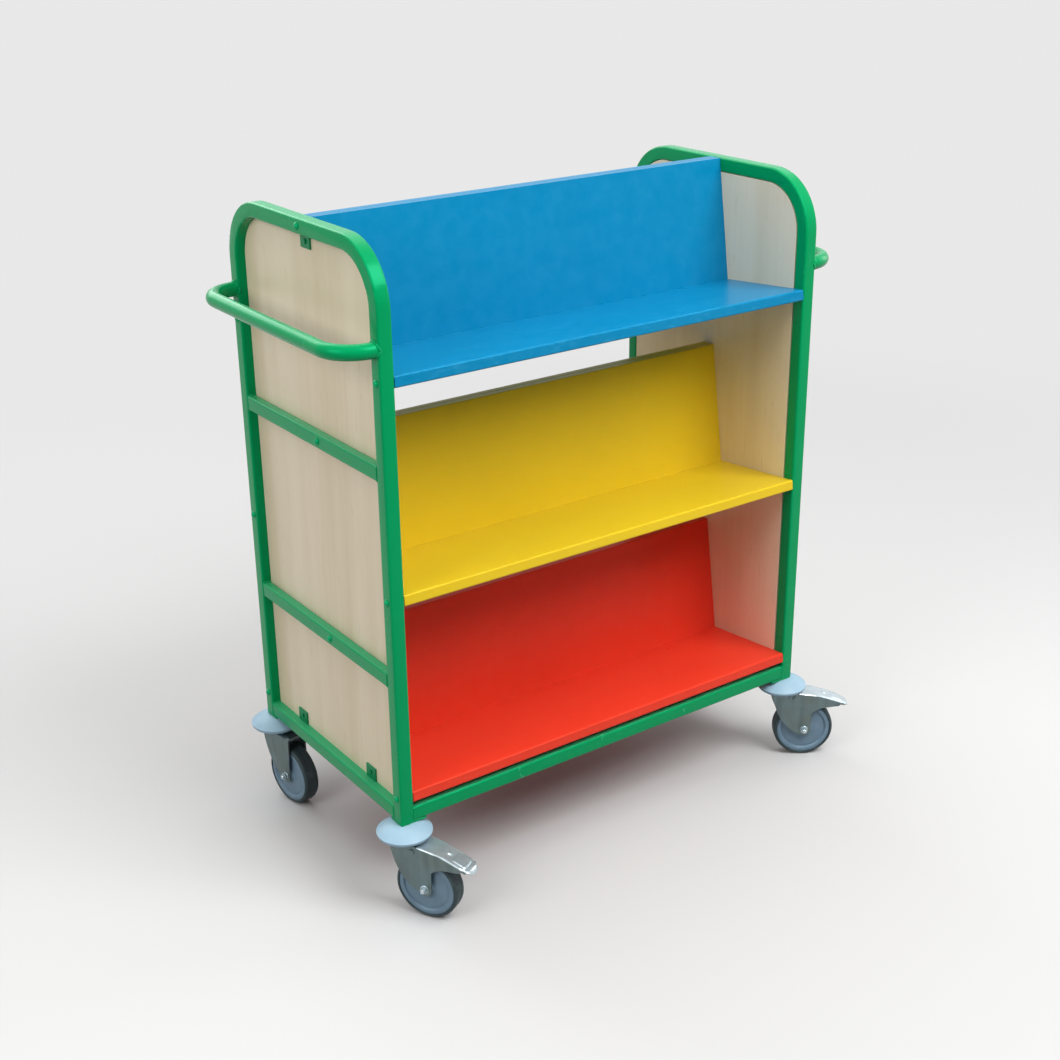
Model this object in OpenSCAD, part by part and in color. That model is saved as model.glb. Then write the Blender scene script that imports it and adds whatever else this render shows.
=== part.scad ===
// Double-sided book trolley. Millimetres, +Z up, origin on the floor under the middle of the frame.
// X runs along the shelves, the front side faces -Y. Both long sides carry three sloping shelves.

/* [Frame] */
// Length over the two end frames
length = 880; // [780:5:1000]
// Depth over the uprights
depth = 482; // [440:2:560]
// Height of the end frames, from the bottom rails' underside to the top of the hoop
frame_height = 962; // [940:2:1040]
// Side of the square frame tube
tube = 25; // [22:1:30]
// Wall of every tube
tube_wall = 1.5; // [1.2:0.1:2]
// Outer corner radius of the square tube
tube_round = 3.5; // [2.5:0.5:4.5]
// Centre-line radius of the two bends at the top of a hoop
bend_radius = 90; // [60:5:120]
// Height of the upper cross rail's middle above the bottom rails' underside
upper_rail_z = 608; // [560:2:650]
// Height of the lower cross rail's middle above the bottom rails' underside
lower_rail_z = 257; // [200:2:320]

/* [End panels] */
// Thickness of an end panel
panel_t = 8; // [6:0.5:8]
// Gap between a panel's edge and the tubes round it
panel_clear = 0.5; // [0.2:0.1:1]
// Width of a panel tab
tab_w = 30; // [20:1:40]
// Height of a panel tab
tab_h = 24; // [18:1:30]
// Thickness of a panel tab
tab_t = 3; // [2:0.5:4]
// Distance of the top tab's middle from the middle of the frame
top_tab_y = 6; // [0:1:40]
// Distance between the two bottom tabs
bottom_tab_pitch = 242; // [180:2:280]
// Shift of the bottom tabs' middle from the middle of the frame
bottom_tab_shift = 0; // [-20:1:20]

/* [Shelves] */
// Thickness of a shelf board
shelf_t = 19; // [16:0.5:22]
// Slope of the shelves, down towards the middle, in degrees
shelf_slope = 5.4; // [3:0.2:7]
// Height from one shelf's front edge to the next
shelf_pitch = 355; // [340:1:370]
// Gap between the bottom rail and the bottom shelf's front edge
shelf_over_rail = 10; // [6:0.5:14]
// How far a shelf's front edge stands out in front of the uprights
shelf_overhang = 1; // [0:0.5:4]
// Radius of the rounded front edges of a shelf
lip_round = 3; // [1:0.5:5]
// Thickness of a back board
back_t = 13; // [10:0.5:15]
// Lean of the back boards from the vertical, in degrees
back_lean = 8.6; // [6:0.2:10]
// Height of the middle and bottom back boards above their shelf's front edge
back_rise = 205; // [180:1:230]
// Drop of the top back boards' upper edge below the top of the hoop
top_back_drop = 1; // [0.5:0.5:20]
// Gap between two back boards where they meet
apex_gap = 0.4; // [0.2:0.1:1]

/* [Handles] */
// Outer diameter of a handle tube
handle_d = 25; // [20:1:28]
// Distance from the end frame's outer face to the handle's centre line
handle_reach = 59; // [55:1:80]
// Centre-line radius of a handle's bends
handle_bend = 54; // [36:1:54]
// Height of the handles above the bottom rails' underside
handle_z = 805; // [740:1:830]

/* [Bolts] */
// Diameter of a bolt's domed head
dome_d = 13; // [10:0.5:14]
// Height of a bolt's domed head
dome_h = 4.5; // [3:0.5:5]
// Diameter of a bolt's shank
bolt_d = 6; // [5:0.5:6]
// Length of a shelf bolt in the wood
bolt_grip = 24; // [16:1:40]
// Clearance round a shank in its hole
bolt_clear = 0.1; // [0.05:0.05:0.2]
// Distance of the cross-rail bolts from the middle of the frame
rail_bolt_y = 30; // [10:1:60]
// Diameter of a tab screw's head
screw_head_d = 8; // [6:0.5:10]
// Height of a tab screw's head
screw_head_h = 2.2; // [1.5:0.1:3]
// Diameter of a tab screw's shank
screw_d = 4; // [3:0.5:4.5]
// Wood left in the panel beyond the end of a bolt or screw
panel_skin = 2; // [1:0.25:2.5]

/* [Foot plates and bumpers] */
// Size of a foot plate along the trolley
foot_x = 50; // [44:1:60]
// Size of a foot plate across the trolley
foot_y = 34; // [30:1:44]
// Thickness of a foot plate
foot_t = 4; // [3:0.5:6]
// Diameter of the stem socket inside an upright
socket_d = 19; // [16:0.5:19]
// Height of the stem socket inside an upright
socket_h = 14; // [10:1:24]
// Outer diameter of a bumper
bumper_d = 94; // [84:1:100]
// Diameter of the flat middle of a bumper's domed top
bumper_top_d = 44; // [36:1:60]
// Largest radius of a bumper's lower edge
bumper_low_r = 8; // [4:0.5:10]
// Height of the spacer between the swivel bearing and the foot plate
spacer_h = 23; // [18:0.5:40]

/* [Casters] */
// Wheel diameter over the tread
wheel_d = 115; // [100:1:118]
// Tyre width
tyre_w = 30; // [24:1:32]
// Radial thickness of the tyre
tyre_t = 6; // [4:0.5:8]
// Distance of the axle from the swivel axis
trail = 45; // [38:1:48]
// Largest radius of the tyre's shoulders
tyre_round = 5; // [2:0.5:5]
// Thickness of the fork's steel
fork_t = 2.5; // [2:0.25:3]
// Gap between the tyre's side and a fork leg
fork_side_gap = 2.5; // [2:0.5:4]
// Height of a fork's top above the wheel's tread
fork_top_gap = 24.7; // [22:0.1:27]
// Radius of a fork's shoulders
fork_round = 6; // [4:0.5:8]
// Fork behind the swivel axis
fork_tail = 20; // [16:1:22]
// Fork in front of the swivel axis
fork_nose = 60; // [56:1:64]
// Radius of a fork leg round the axle
leg_r = 13; // [11:0.5:15]
// Diameter of the swivel stem
stem_d = 12; // [10:0.5:12]
// Diameter of the spacer on the stem, inside the bumper
spacer_d = 25; // [20:0.5:28]
// Diameter of the nut plate under a fork's top
stem_nut_d = 22; // [18:0.5:24]
// Thickness of the nut plate under a fork's top
stem_nut_h = 6; // [4:0.5:7]
// Diameter of the swivel bearing
bearing_d = 52; // [46:1:56]
// Height of the swivel bearing
bearing_h = 3; // [2:0.5:5]
// Diameter of the axle bolt
axle_d = 8; // [7:0.5:10]
// Size across flats of the axle's hexagons
hex_af = 13; // [11:0.5:16]
// Height of the axle's hexagons
hex_h = 5; // [4:0.5:6]
// Diameter of the wheel's hub
hub_d = 24; // [20:1:30]
// Inner diameter of the wheel's raised rim
rim_inner_d = 86; // [76:1:90]
// Depth of the recess inside the wheel's raised rim
rim_step = 2.5; // [1:0.5:4]
// Running clearance between a shaft and its hole, on the radius
run_clear = 0.05; // [0.02:0.01:0.1]
// Gap between faces that turn past each other
turn_gap = 0.3; // [0.2:0.1:0.6]
// Direction of the front left caster, in degrees from +X
heading_fl = -61; // [-180:1:180]
// Direction of the front right caster, in degrees from +X
heading_fr = -33; // [-180:1:180]
// Direction of the rear left caster, in degrees from +X
heading_rl = -82; // [-180:1:180]
// Direction of the rear right caster, in degrees from +X
heading_rr = -50; // [-180:1:180]

/* [Brake] */
// Thickness of a pedal's steel
pedal_t = 1.75; // [1.5:0.25:2.5]
// Gap between a pedal's side and the fork leg
pedal_side_gap = 0.5; // [0.3:0.1:1]
// Distance of the pedal pin from the swivel axis
pedal_pin_x = 24; // [20:1:28]
// Distance of the pedal pin below the fork's top
pedal_pin_drop = 13; // [11:0.5:15]
// Diameter of the pedal pin
pin_d = 6; // [5:0.5:6]
// Distance of the pedal's tip from the swivel axis
pedal_tip_x = 130; // [124:1:140]
// Drop of the pedal's tip below the fork's top
pedal_tip_drop = 29; // [26:1:32]
// Travel of the pedal between off and on, in degrees
press_angle = 12; // [8:1:12]
// Height of the lip turned down at a pedal's tip
tip_lip_h = 8; // [5:0.5:10]
// Radius of the corners of a pedal's tip
tip_round = 9; // [5:0.5:12]
// Width of the raised tread pad on a pedal
pad_w = 24; // [16:1:30]
// Height of the raised tread pad on a pedal
pad_h = 1.5; // [0.8:0.1:2.5]
// Width of a brake shoe
shoe_w = 18; // [12:1:22]
// Height of a brake shoe
shoe_h = 9.5; // [7:0.5:9.5]

/* [Hidden] */
$fn = 64;
eps = 0.01;
half_x = length / 2;
half_y = depth / 2;
// The casters and their spacers carry the frame
fork_z = wheel_d + fork_top_gap;
bearing_z = fork_z + turn_gap;
bumper_z = bearing_z + bearing_h;
foot_z = bumper_z + spacer_h;
z0 = foot_z + foot_t;
z_top = z0 + frame_height;
inner_x = half_x - tube;
inner_y = half_y - tube;
inner_round = max(0.5, tube_round - tube_wall);
axis_x = half_x - tube / 2;
axis_y = half_y - tube / 2;
// The cross rails' flat tube fills the frame's depth in front of the panel
rail_depth = tube - panel_t;
panel_x = half_x - rail_depth;
panel_hold = panel_t - panel_skin;
// Shelf edges: front edge's top line, for the bottom, middle and top tiers
lip_drop = shelf_t * cos(shelf_slope);
lip_z = [for (i = [0:2]) z0 + tube + shelf_over_rail + lip_drop + i * shelf_pitch];
lip_y = -half_y - shelf_overhang + shelf_t * sin(shelf_slope);
apex_y = -apex_gap / 2 - back_t / cos(back_lean);
top_back_z = z_top - top_back_drop;
// Height of a shelf's upper face at a distance from the middle
function seat_z(i, y) = lip_z[i] - (y - lip_y) * tan(shelf_slope);
function back_top(i) = i == 2 ? top_back_z : lip_z[i] + back_rise;
// The line where a back board's face meets its shelf, as a point in Y and Z
function joint_y(i) = let (k = tan(back_lean), s = tan(shelf_slope), h = back_top(i) - lip_z[i])
    (apex_y - k * (h - lip_y * s)) / (1 + k * s);
function joint(i) = [joint_y(i), seat_z(i, joint_y(i))];
// Bolt heights
function bolt_z(i) = seat_z(i, -axis_y) - shelf_t / 2 / cos(shelf_slope);
top_bolt_z = z_top - tube / 2;
top_bolt_y = apex_y / 2 - (top_back_z - top_bolt_z) * tan(back_lean);
// Caster heights
axle_z = wheel_d / 2;
fork_w = tyre_w + 2 * fork_side_gap + 2 * fork_t;
leg_h = fork_z - axle_z;
stem_nut_z = fork_z - fork_t - turn_gap - stem_nut_h;
pedal_w = fork_w + 2 * pedal_side_gap + 2 * pedal_t;
pin_z = fork_z - pedal_pin_drop;
pedal_start = pedal_pin_x + 8;
// Glue line between the pedal's web and its shoe
shoe_seat = 0.02;
hoop_bore = bolt_d + 2 * bolt_clear;

GREEN = [0.03, 0.60, 0.37];
BLUE = [0.08, 0.52, 0.78];
YELLOW = [0.87, 0.76, 0.13];
RED = [0.90, 0.22, 0.16];
BIRCH = [0.80, 0.73, 0.63];
ZINC = [0.55, 0.60, 0.60];
PLASTIC = [0.42, 0.50, 0.57];
TYRE = [0.15, 0.19, 0.20];
BUMPER = [0.71, 0.85, 0.93];
// Tier colours, bottom first
TIER = [RED, YELLOW, BLUE];
// Corners as X side, Y side and heading, in the order front left, front right, rear left, rear right
CORNERS = [[-1, -1, heading_fl], [1, -1, heading_fr], [-1, 1, heading_rl], [1, 1, heading_rr]];

// A rectangle with rounded corners, centred
module rounded_rect(w, h, r) {
    square([w - 2 * r, h], center = true);
    square([w, h - 2 * r], center = true);
    for (x = [-1, 1], y = [-1, 1])
        translate([x * (w / 2 - r), y * (h / 2 - r)])
            circle(r = r);
}

// Section of a rectangular tube, centred
module tube_section(w, h) {
    difference() {
        rounded_rect(w, h, tube_round);
        rounded_rect(w - 2 * tube_wall, h - 2 * tube_wall, inner_round);
    }
}

// Draws its children at a hole that runs along X
module along_x() {
    rotate([0, 90, 0])
        children();
}

// Places its children at the left end, or turned half round at the right end
module at_end(side) {
    rotate([0, 0, side < 0 ? 0 : 180])
        children();
}

// One inverted-U hoop at the left end
module hoop_left() {
    reach_y = axis_y - bend_radius;
    bend_z = z_top - tube / 2 - bend_radius;
    color(GREEN)
    difference() {
        translate([-axis_x, 0, 0])
        union() {
            for (s = [-1, 1])
                translate([0, s * axis_y, z0])
                    linear_extrude(bend_z - z0)
                        tube_section(tube, tube);
            translate([0, 0, z_top - tube / 2])
                rotate([90, 0, 0])
                    linear_extrude(2 * reach_y, center = true)
                        tube_section(tube, tube);
            for (s = [0, 1])
                mirror([0, s, 0])
                    translate([0, reach_y, bend_z])
                        rotate([90, 0, 90])
                            rotate_extrude(angle = 90, $fn = 96)
                                translate([bend_radius, 0])
                                    tube_section(tube, tube);
        }
        for (s = [-1, 1], i = [0:2])
            translate([-half_x - 1, s * axis_y, bolt_z(i)])
                along_x()
                    cylinder(h = tube + 2, d = hoop_bore);
        translate([-half_x - 1, top_bolt_y, top_bolt_z])
            along_x()
                cylinder(h = tube + 2, d = hoop_bore);
    }
}

// A cross rail of the left end, with its bolt hole
module cross_rail_left(z) {
    color(GREEN)
    difference() {
        translate([-half_x + rail_depth / 2, 0, z0 + z])
            rotate([90, 0, 0])
                linear_extrude(2 * inner_y, center = true)
                    tube_section(rail_depth, tube);
        translate([-half_x - 1, -rail_bolt_y, z0 + z])
            along_x()
                cylinder(h = rail_depth + 2, d = hoop_bore);
    }
}

// The bottom side rail of the left end
module bottom_rail_left() {
    color(GREEN)
    translate([-axis_x, 0, z0 + tube / 2])
        rotate([90, 0, 0])
            linear_extrude(2 * inner_y, center = true)
                tube_section(tube, tube);
}

// The long bottom rail of one side
module long_rail(side) {
    color(GREEN)
    translate([0, side * axis_y, z0 + tube / 2])
        along_x()
            linear_extrude(2 * inner_x, center = true)
                tube_section(tube, tube);
}

// Outline of an end panel in Y and Z
module panel_outline() {
    w = inner_y - panel_clear;
    top = z_top - tube - panel_clear;
    r = bend_radius - tube / 2 - panel_clear;
    translate([-w, z0 + tube])
        square([2 * w, top - r - z0 - tube]);
    translate([-w + r, top - r - eps])
        square([2 * (w - r), r + eps]);
    for (s = [-1, 1])
        translate([s * (w - r), top - r])
            circle(r = r, $fn = 96);
}

// The left end panel with its screw and bolt holes
module panel_left() {
    color(BIRCH)
    difference() {
        translate([-panel_x, 0, 0])
            rotate([90, 0, 90])
                linear_extrude(panel_t)
                    panel_outline();
        for (z = [upper_rail_z, lower_rail_z])
            translate([-panel_x - 1, -rail_bolt_y, z0 + z])
                along_x()
                    cylinder(h = panel_hold + 1 + bolt_clear, d = hoop_bore);
        for (p = tab_places())
            translate([-panel_x - 1, p[0], p[1]])
                along_x()
                    cylinder(h = panel_hold + 1 + bolt_clear, d = screw_d + 2 * bolt_clear);
    }
}

// Middles of the screws of the three tabs, in Y and Z
function tab_places() = [
    [-top_tab_y, z_top - tube - tab_h * 0.55],
    [-bottom_tab_shift - bottom_tab_pitch / 2, z0 + tube + tab_h * 0.55],
    [-bottom_tab_shift + bottom_tab_pitch / 2, z0 + tube + tab_h * 0.55]];

// The three tabs of the left end, from the tubes to the panel's face
module tabs_left() {
    mids = tab_places();
    color(GREEN)
    for (i = [0:2])
        difference() {
            translate([-panel_x - tab_t, mids[i][0] - tab_w / 2, i == 0 ? z_top - tube - tab_h : z0 + tube])
                cube([tab_t, tab_w, tab_h]);
            translate([-panel_x - tab_t - 1, mids[i][0], mids[i][1]])
                along_x()
                    cylinder(h = tab_t + 2, d = screw_d + 2 * bolt_clear);
        }
}

// The three tab screws of the left end
module tab_screws_left() {
    color(GREEN)
    for (p = tab_places())
        translate([-panel_x - tab_t, p[0], p[1]])
            along_x()
                union() {
                    cylinder(h = tab_t + panel_hold, d = screw_d, $fn = 32);
                    translate([0, 0, -screw_head_h])
                        cylinder(h = screw_head_h, d = screw_head_d, $fn = 32);
                }
}

// A bolt along +X with its head's seat at the origin
module dome_bolt(grip) {
    dome_r = (dome_d * dome_d / 4 + dome_h * dome_h) / (2 * dome_h);
    along_x()
        rotate_extrude($fn = 48)
            union() {
                square([bolt_d / 2, grip]);
                intersection() {
                    translate([0, -dome_h])
                        square([dome_d / 2 + 1, dome_h]);
                    translate([0, dome_r - dome_h])
                        circle(r = dome_r, $fn = 96);
                }
            }
}

// The six shelf bolts of the left end
module shelf_bolts_left() {
    color(GREEN)
    for (s = [-1, 1], i = [0:2])
        translate([-half_x, s * axis_y, bolt_z(i)])
            dome_bolt(tube + bolt_grip);
}

// The two cross-rail bolts and the top bolt of the left end
module rail_bolts_left() {
    color(GREEN) {
        for (z = [upper_rail_z, lower_rail_z])
            translate([-half_x, -rail_bolt_y, z0 + z])
                dome_bolt(rail_depth + panel_hold);
        translate([-half_x, top_bolt_y, top_bolt_z])
            dome_bolt(tube + bolt_grip);
    }
}

// The left handle: two short legs, two bends and the grip
module handle_left() {
    leg = handle_reach - handle_bend;
    grip_y = axis_y - handle_bend;
    color(GREEN)
    difference() {
        translate([-half_x, 0, z0 + handle_z])
        union() {
            for (s = [-1, 1])
                translate([-leg, s * axis_y, 0])
                    along_x()
                        handle_tube(leg + tube_round);
            translate([-handle_reach, 0, 0])
                rotate([90, 0, 0])
                    translate([0, 0, -grip_y])
                        handle_tube(2 * grip_y);
            for (s = [0, 1])
                mirror([0, s, 0])
                    translate([-leg, grip_y, 0])
                        rotate([0, 0, 90])
                            rotate_extrude(angle = 90, $fn = 96)
                                translate([handle_bend, 0])
                                    difference() {
                                        circle(d = handle_d);
                                        circle(d = handle_d - 2 * tube_wall);
                                    }
        }
        for (s = [-1, 1])
            translate([-axis_x, s * axis_y, z0 + handle_z - handle_d])
                linear_extrude(2 * handle_d)
                    rounded_rect(tube, tube, tube_round);
    }
}

// A length of handle tube along +Z
module handle_tube(h) {
    difference() {
        cylinder(h = h, d = handle_d);
        translate([0, 0, -eps])
            cylinder(h = h + 2 * eps, d = handle_d - 2 * tube_wall);
    }
}

// Profile of a front shelf in Y and Z, whose hidden edge lies against the back board
module shelf_profile(i) {
    s = shelf_slope;
    len = (joint_y(i) - lip_y) / cos(s);
    r = lip_round;
    translate([lip_y, lip_z[i]])
        rotate(-s) {
            polygon([[r, -shelf_t], [len - shelf_t * tan(back_lean - s), -shelf_t], [len, 0], [r, 0]]);
            translate([0, -shelf_t + r])
                square([2 * r, shelf_t - 2 * r]);
            for (y = [-r, -shelf_t + r])
                translate([r, y])
                    circle(r = r, $fn = 48);
        }
}

// A shelf board of tier i, side -1 for the front and 1 for the rear
module shelf(i, side) {
    color(TIER[i])
    mirror([0, side > 0 ? 1 : 0, 0])
    difference() {
        rotate([90, 0, 90])
            linear_extrude(2 * inner_x, center = true)
                shelf_profile(i);
        for (e = [-1, 1])
            translate([e * (inner_x + 1), -axis_y, bolt_z(i)])
                rotate([0, -e * 90, 0])
                    cylinder(h = bolt_grip + 3, d = bolt_d + 2 * bolt_clear, $fn = 32);
    }
}

// Profile of a front back board in Y and Z
module back_profile(i) {
    j = joint(i);
    top = back_top(i);
    k = tan(back_lean);
    w = back_t / cos(back_lean);
    // The board's foot ends flush with the shelf's underside
    edge = shelf_t / cos(back_lean - shelf_slope);
    foot = j - edge * [sin(back_lean), cos(back_lean)];
    t = w / (1 + k * tan(shelf_slope));
    polygon([foot, [apex_y, top], [apex_y + w, top], foot + [t, -t * tan(shelf_slope)]]);
}

// A back board of tier i; the top tier's has a bolt hole at one end
module back(i, side) {
    color(TIER[i])
    rotate([0, 0, side > 0 ? 180 : 0])
    difference() {
        rotate([90, 0, 90])
            linear_extrude(2 * inner_x, center = true)
                back_profile(i);
        if (i == 2)
            translate([-inner_x - 1, top_bolt_y, top_bolt_z])
                along_x()
                    cylinder(h = bolt_grip + 3, d = bolt_d + 2 * bolt_clear, $fn = 32);
    }
}

// Places its children at a corner of the frame, with X along the caster's heading
module at_corner(c) {
    translate([c[0] * axis_x, c[1] * axis_y, 0])
        rotate([0, 0, c[2]])
            children();
}

// A foot plate with the stem's socket inside the upright
module foot_plate(c) {
    color(GREEN)
    difference() {
        union() {
            translate([c[0] * (half_x - foot_x / 2), c[1] * (half_y - foot_y / 2), foot_z])
                linear_extrude(foot_t)
                    rounded_rect(foot_x, foot_y, tube_round);
            translate([c[0] * axis_x, c[1] * axis_y, foot_z])
                cylinder(h = foot_t + socket_h, d = socket_d);
        }
        translate([c[0] * axis_x, c[1] * axis_y, foot_z - 1])
            cylinder(h = foot_t + socket_h + 2, r = stem_d / 2 + run_clear);
    }
}

// A quarter of a disc
module quarter(r) {
    intersection() {
        circle(r = r);
        square([r, r]);
    }
}

// A round bumper between the foot plate and the swivel bearing
module bumper() {
    h = spacer_h;
    rb = bumper_d / 2;
    rt = bumper_top_d / 2;
    low = min(bumper_low_r, 0.35 * h);
    // The dome's centre, so that it meets the rim above the lower edge and the flat middle
    dome_z = (rt * rt + h * h - rb * rb - low * low) / (2 * (h - low));
    dome_r = norm([rb, low - dome_z]);
    color(BUMPER)
    translate([0, 0, bumper_z])
    difference() {
        rotate_extrude($fn = 96)
            union() {
                square([rb - low, low + eps]);
                translate([rb - low, low])
                    mirror([0, 1])
                        quarter(low);
                intersection() {
                    translate([0, low])
                        square([rb, h - low]);
                    translate([0, dome_z])
                        circle(r = dome_r, $fn = 192);
                }
            }
        translate([0, 0, -1])
            cylinder(h = h + 2, r = spacer_d / 2 + 0.5);
    }
}

// The fixed stem with its spacer and the plate under the fork
module stem() {
    color(ZINC)
    union() {
        translate([0, 0, stem_nut_z])
            cylinder(h = stem_nut_h, d = stem_nut_d);
        translate([0, 0, stem_nut_z])
            cylinder(h = z0 + socket_h - stem_nut_z, d = stem_d);
        translate([0, 0, bumper_z])
            cylinder(h = spacer_h, d = spacer_d);
    }
}

// The fixed ring that the fork turns under
module bearing() {
    color(ZINC)
    translate([0, 0, bearing_z])
        difference() {
            cylinder(h = bearing_h, d = bearing_d);
            translate([0, 0, -1])
                cylinder(h = bearing_h + 2, r = stem_d / 2 + run_clear);
        }
}

// Outline of a fork leg, along the heading and up
module leg_outline(nose) {
    a = [-0.85 * fork_tail, axle_z + 0.78 * leg_h];
    b = [trail - leg_r * 0.7, axle_z - leg_r * 0.72];
    c = [-0.1 * fork_tail, axle_z + 0.07 * leg_h];
    rear = [for (t = [0:0.1:1]) (1 - t) * (1 - t) * a + 2 * t * (1 - t) * c + t * t * b];
    polygon(concat([[-fork_tail, fork_z + 1]], rear,
        [[trail + leg_r * 0.97, axle_z - leg_r * 0.24], [trail + leg_r, axle_z + 0.41 * leg_h],
        [nose, axle_z + 0.56 * leg_h], [nose, fork_z + 1]]));
    translate([trail, axle_z])
        circle(r = leg_r);
}

// Section of the fork across the heading: an inverted U with rounded shoulders
module fork_section() {
    r = fork_round;
    w = fork_w;
    h = leg_h + leg_r + 3 * r;
    difference() {
        translate([0, fork_z - h / 2])
            rounded_rect(w, h, r);
        translate([0, fork_z - fork_t - h / 2])
            rounded_rect(w - 2 * fork_t, h, r - fork_t);
        translate([0, fork_z - h])
            square([w - 2 * fork_t, 4 * r], center = true);
    }
}

// A fork; the braked one is cut back in front so that the pedal can close over it
module fork(braked) {
    web_end = braked ? pedal_start - 2 : fork_nose;
    color(ZINC)
    difference() {
        intersection() {
            translate([-fork_tail - 1, 0, 0])
                rotate([90, 0, 90])
                    linear_extrude(fork_tail + fork_nose + 40)
                        fork_section();
            rotate([90, 0, 0])
                linear_extrude(fork_w + 2, center = true)
                    leg_outline(fork_nose);
        }
        translate([0, 0, stem_nut_z - 5])
            cylinder(h = 60, r = stem_d / 2 + run_clear);
        translate([trail, fork_w / 2 + 1, axle_z])
            rotate([90, 0, 0])
                cylinder(h = fork_w + 2, r = axle_d / 2 + run_clear);
        if (braked) {
            rotate([90, 0, 0])
                linear_extrude(2 * fork_w, center = true)
                    pressed_room(web_end);
            translate([pedal_pin_x, fork_w / 2 + 1, pin_z])
                rotate([90, 0, 0])
                    cylinder(h = fork_w + 2, r = pin_d / 2 + run_clear);
        }
    }
}

// The axle bolt with its head on the near side and its nut on the far side
module axle() {
    color(ZINC)
    translate([trail, 0, axle_z])
        rotate([90, 0, 0]) {
            translate([0, 0, -fork_w / 2 - hex_h - 2])
                cylinder(h = fork_w + 2 * hex_h + 2, d = axle_d);
            for (z = [-fork_w / 2 - hex_h, fork_w / 2])
                translate([0, 0, z])
                    cylinder(h = hex_h, d = hex_af / cos(30), $fn = 6);
        }
}

// The wheel's disc: hub, recessed web and raised rim
module wheel() {
    rim = wheel_d / 2 - tyre_t;
    hub_w = fork_w / 2 - fork_t - turn_gap;
    rim_w = tyre_w / 2 - 1;
    color(PLASTIC)
    translate([trail, 0, axle_z])
        rotate([90, 0, 0])
            rotate_extrude($fn = 96)
                difference() {
                    union() {
                        translate([0, -rim_w])
                            square([rim, 2 * rim_w]);
                        translate([0, -hub_w])
                            square([hub_d / 2, 2 * hub_w]);
                    }
                    for (s = [0, 1])
                        mirror([0, s])
                            translate([hub_d / 2, rim_w - rim_step])
                                square([(rim_inner_d - hub_d) / 2, rim_step + 1]);
                    translate([-1, -hub_w - 1])
                        square([1 + axle_d / 2 + run_clear, 2 * hub_w + 2]);
                }
}

// The tyre, with rounded shoulders
module tyre() {
    ri = wheel_d / 2 - tyre_t + run_clear;
    ro = wheel_d / 2;
    r = min(tyre_round, tyre_t - 0.5);
    color(TYRE)
    translate([trail, 0, axle_z])
        rotate([90, 0, 0])
            rotate_extrude($fn = 128)
                union() {
                    translate([ri, -tyre_w / 2])
                        square([ro - r - ri, tyre_w]);
                    translate([ri, -tyre_w / 2 + r])
                        square([ro - ri, tyre_w - 2 * r]);
                    for (s = [0, 1])
                        mirror([0, s])
                            translate([ro - r, tyre_w / 2 - r])
                                quarter(r);
                }
}

// The pedal's upper line, along the heading and up, from the fork's top to the tip
function pedal_top() = [for (k = [[0, 0.06], [0.12, 0.12], [0.3, 0.21], [0.47, 0.36], [0.63, 0.55],
    [0.78, 0.74], [0.9, 0.89], [1, 1]])
    [pedal_start + k[0] * (pedal_tip_x - pedal_start), fork_z - k[1] * pedal_tip_drop]];

// A point of the pedal, with the pedal pressed
function pressed(p) = let (a = press_angle, d = p - [pedal_pin_x, pin_z])
    [pedal_pin_x + d[0] * cos(a) + d[1] * sin(a), pin_z - d[0] * sin(a) + d[1] * cos(a)];

// The room that the pressed pedal's web needs above the fork's legs
module pressed_room(start) {
    up = pedal_top();
    under = [for (i = [0:3]) pressed(up[i] - [0, pedal_t + 3 * turn_gap])];
    polygon(concat([[start, fork_z + 1], [start, under[0][1]]], under, [[under[3][0], fork_z + 1]]));
}

// The pedal's side, under its upper line
module pedal_side() {
    up = pedal_top();
    h = pedal_tip_drop;
    boss = 1.5 * pin_d;
    tail = pedal_pin_x - 2 * pin_d;
    polygon(concat([for (i = [0:6]) up[i]],
        [up[6] - [0, 0.14 * h], up[5] - [0, 0.38 * h], up[4] - [0, 0.62 * h], up[3] - [0, 0.87 * h],
        up[2] - [0.05 * h, 1.17 * h], [tail + boss, pin_z - boss], [tail, pin_z - 0.5 * boss],
        [tail, pin_z + 0.5 * boss], [tail + pin_d, pin_z + boss]]));
}

// The pedal: a channel with two sides, a sloping web, a turned-down tip and pressed ribs
module pedal() {
    up = pedal_top();
    tip = up[7];
    web = concat(up, [tip + [0.5 * pedal_t, -tip_lip_h], tip + [-0.5 * pedal_t, -tip_lip_h],
        tip - [pedal_t, pedal_t]], [for (i = [6:-1:0]) up[i] - [0, pedal_t]]);
    color(ZINC)
    union() {
        intersection() {
            rotate([90, 0, 0])
                linear_extrude(pedal_w, center = true)
                    polygon(web);
            translate([0, 0, fork_z - 2 * pedal_tip_drop])
                linear_extrude(2 * pedal_tip_drop + 1)
                    pedal_plan();
        }
        for (s = [-1, 1])
            translate([0, s * (pedal_w / 2 - pedal_t / 2), 0])
                rotate([90, 0, 0])
                    difference() {
                        linear_extrude(pedal_t, center = true)
                            pedal_side();
                        translate([pedal_pin_x, pin_z, -pedal_t])
                            cylinder(h = 2 * pedal_t, r = pin_d / 2 + run_clear);
                    }
        rotate([90, 0, 0])
            linear_extrude(pad_w, center = true)
                polygon([up[4] - [0, 0.5], up[4] + [pad_h, pad_h - 0.5], up[6] + [-pad_h, pad_h],
                    up[6] - [0, 0.5]]);
    }
}

// Plan of the pedal's web, rounded at the tip
module pedal_plan() {
    w = pedal_w;
    r = tip_round;
    end = pedal_tip_x + pedal_t;
    translate([pedal_start, -w / 2])
        square([end - pedal_start - r, w]);
    translate([pedal_start, -w / 2 + r])
        square([end - pedal_start, w - 2 * r]);
    for (s = [-1, 1])
        translate([end - r, s * (w / 2 - r)])
            circle(r = r);
}

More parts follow.
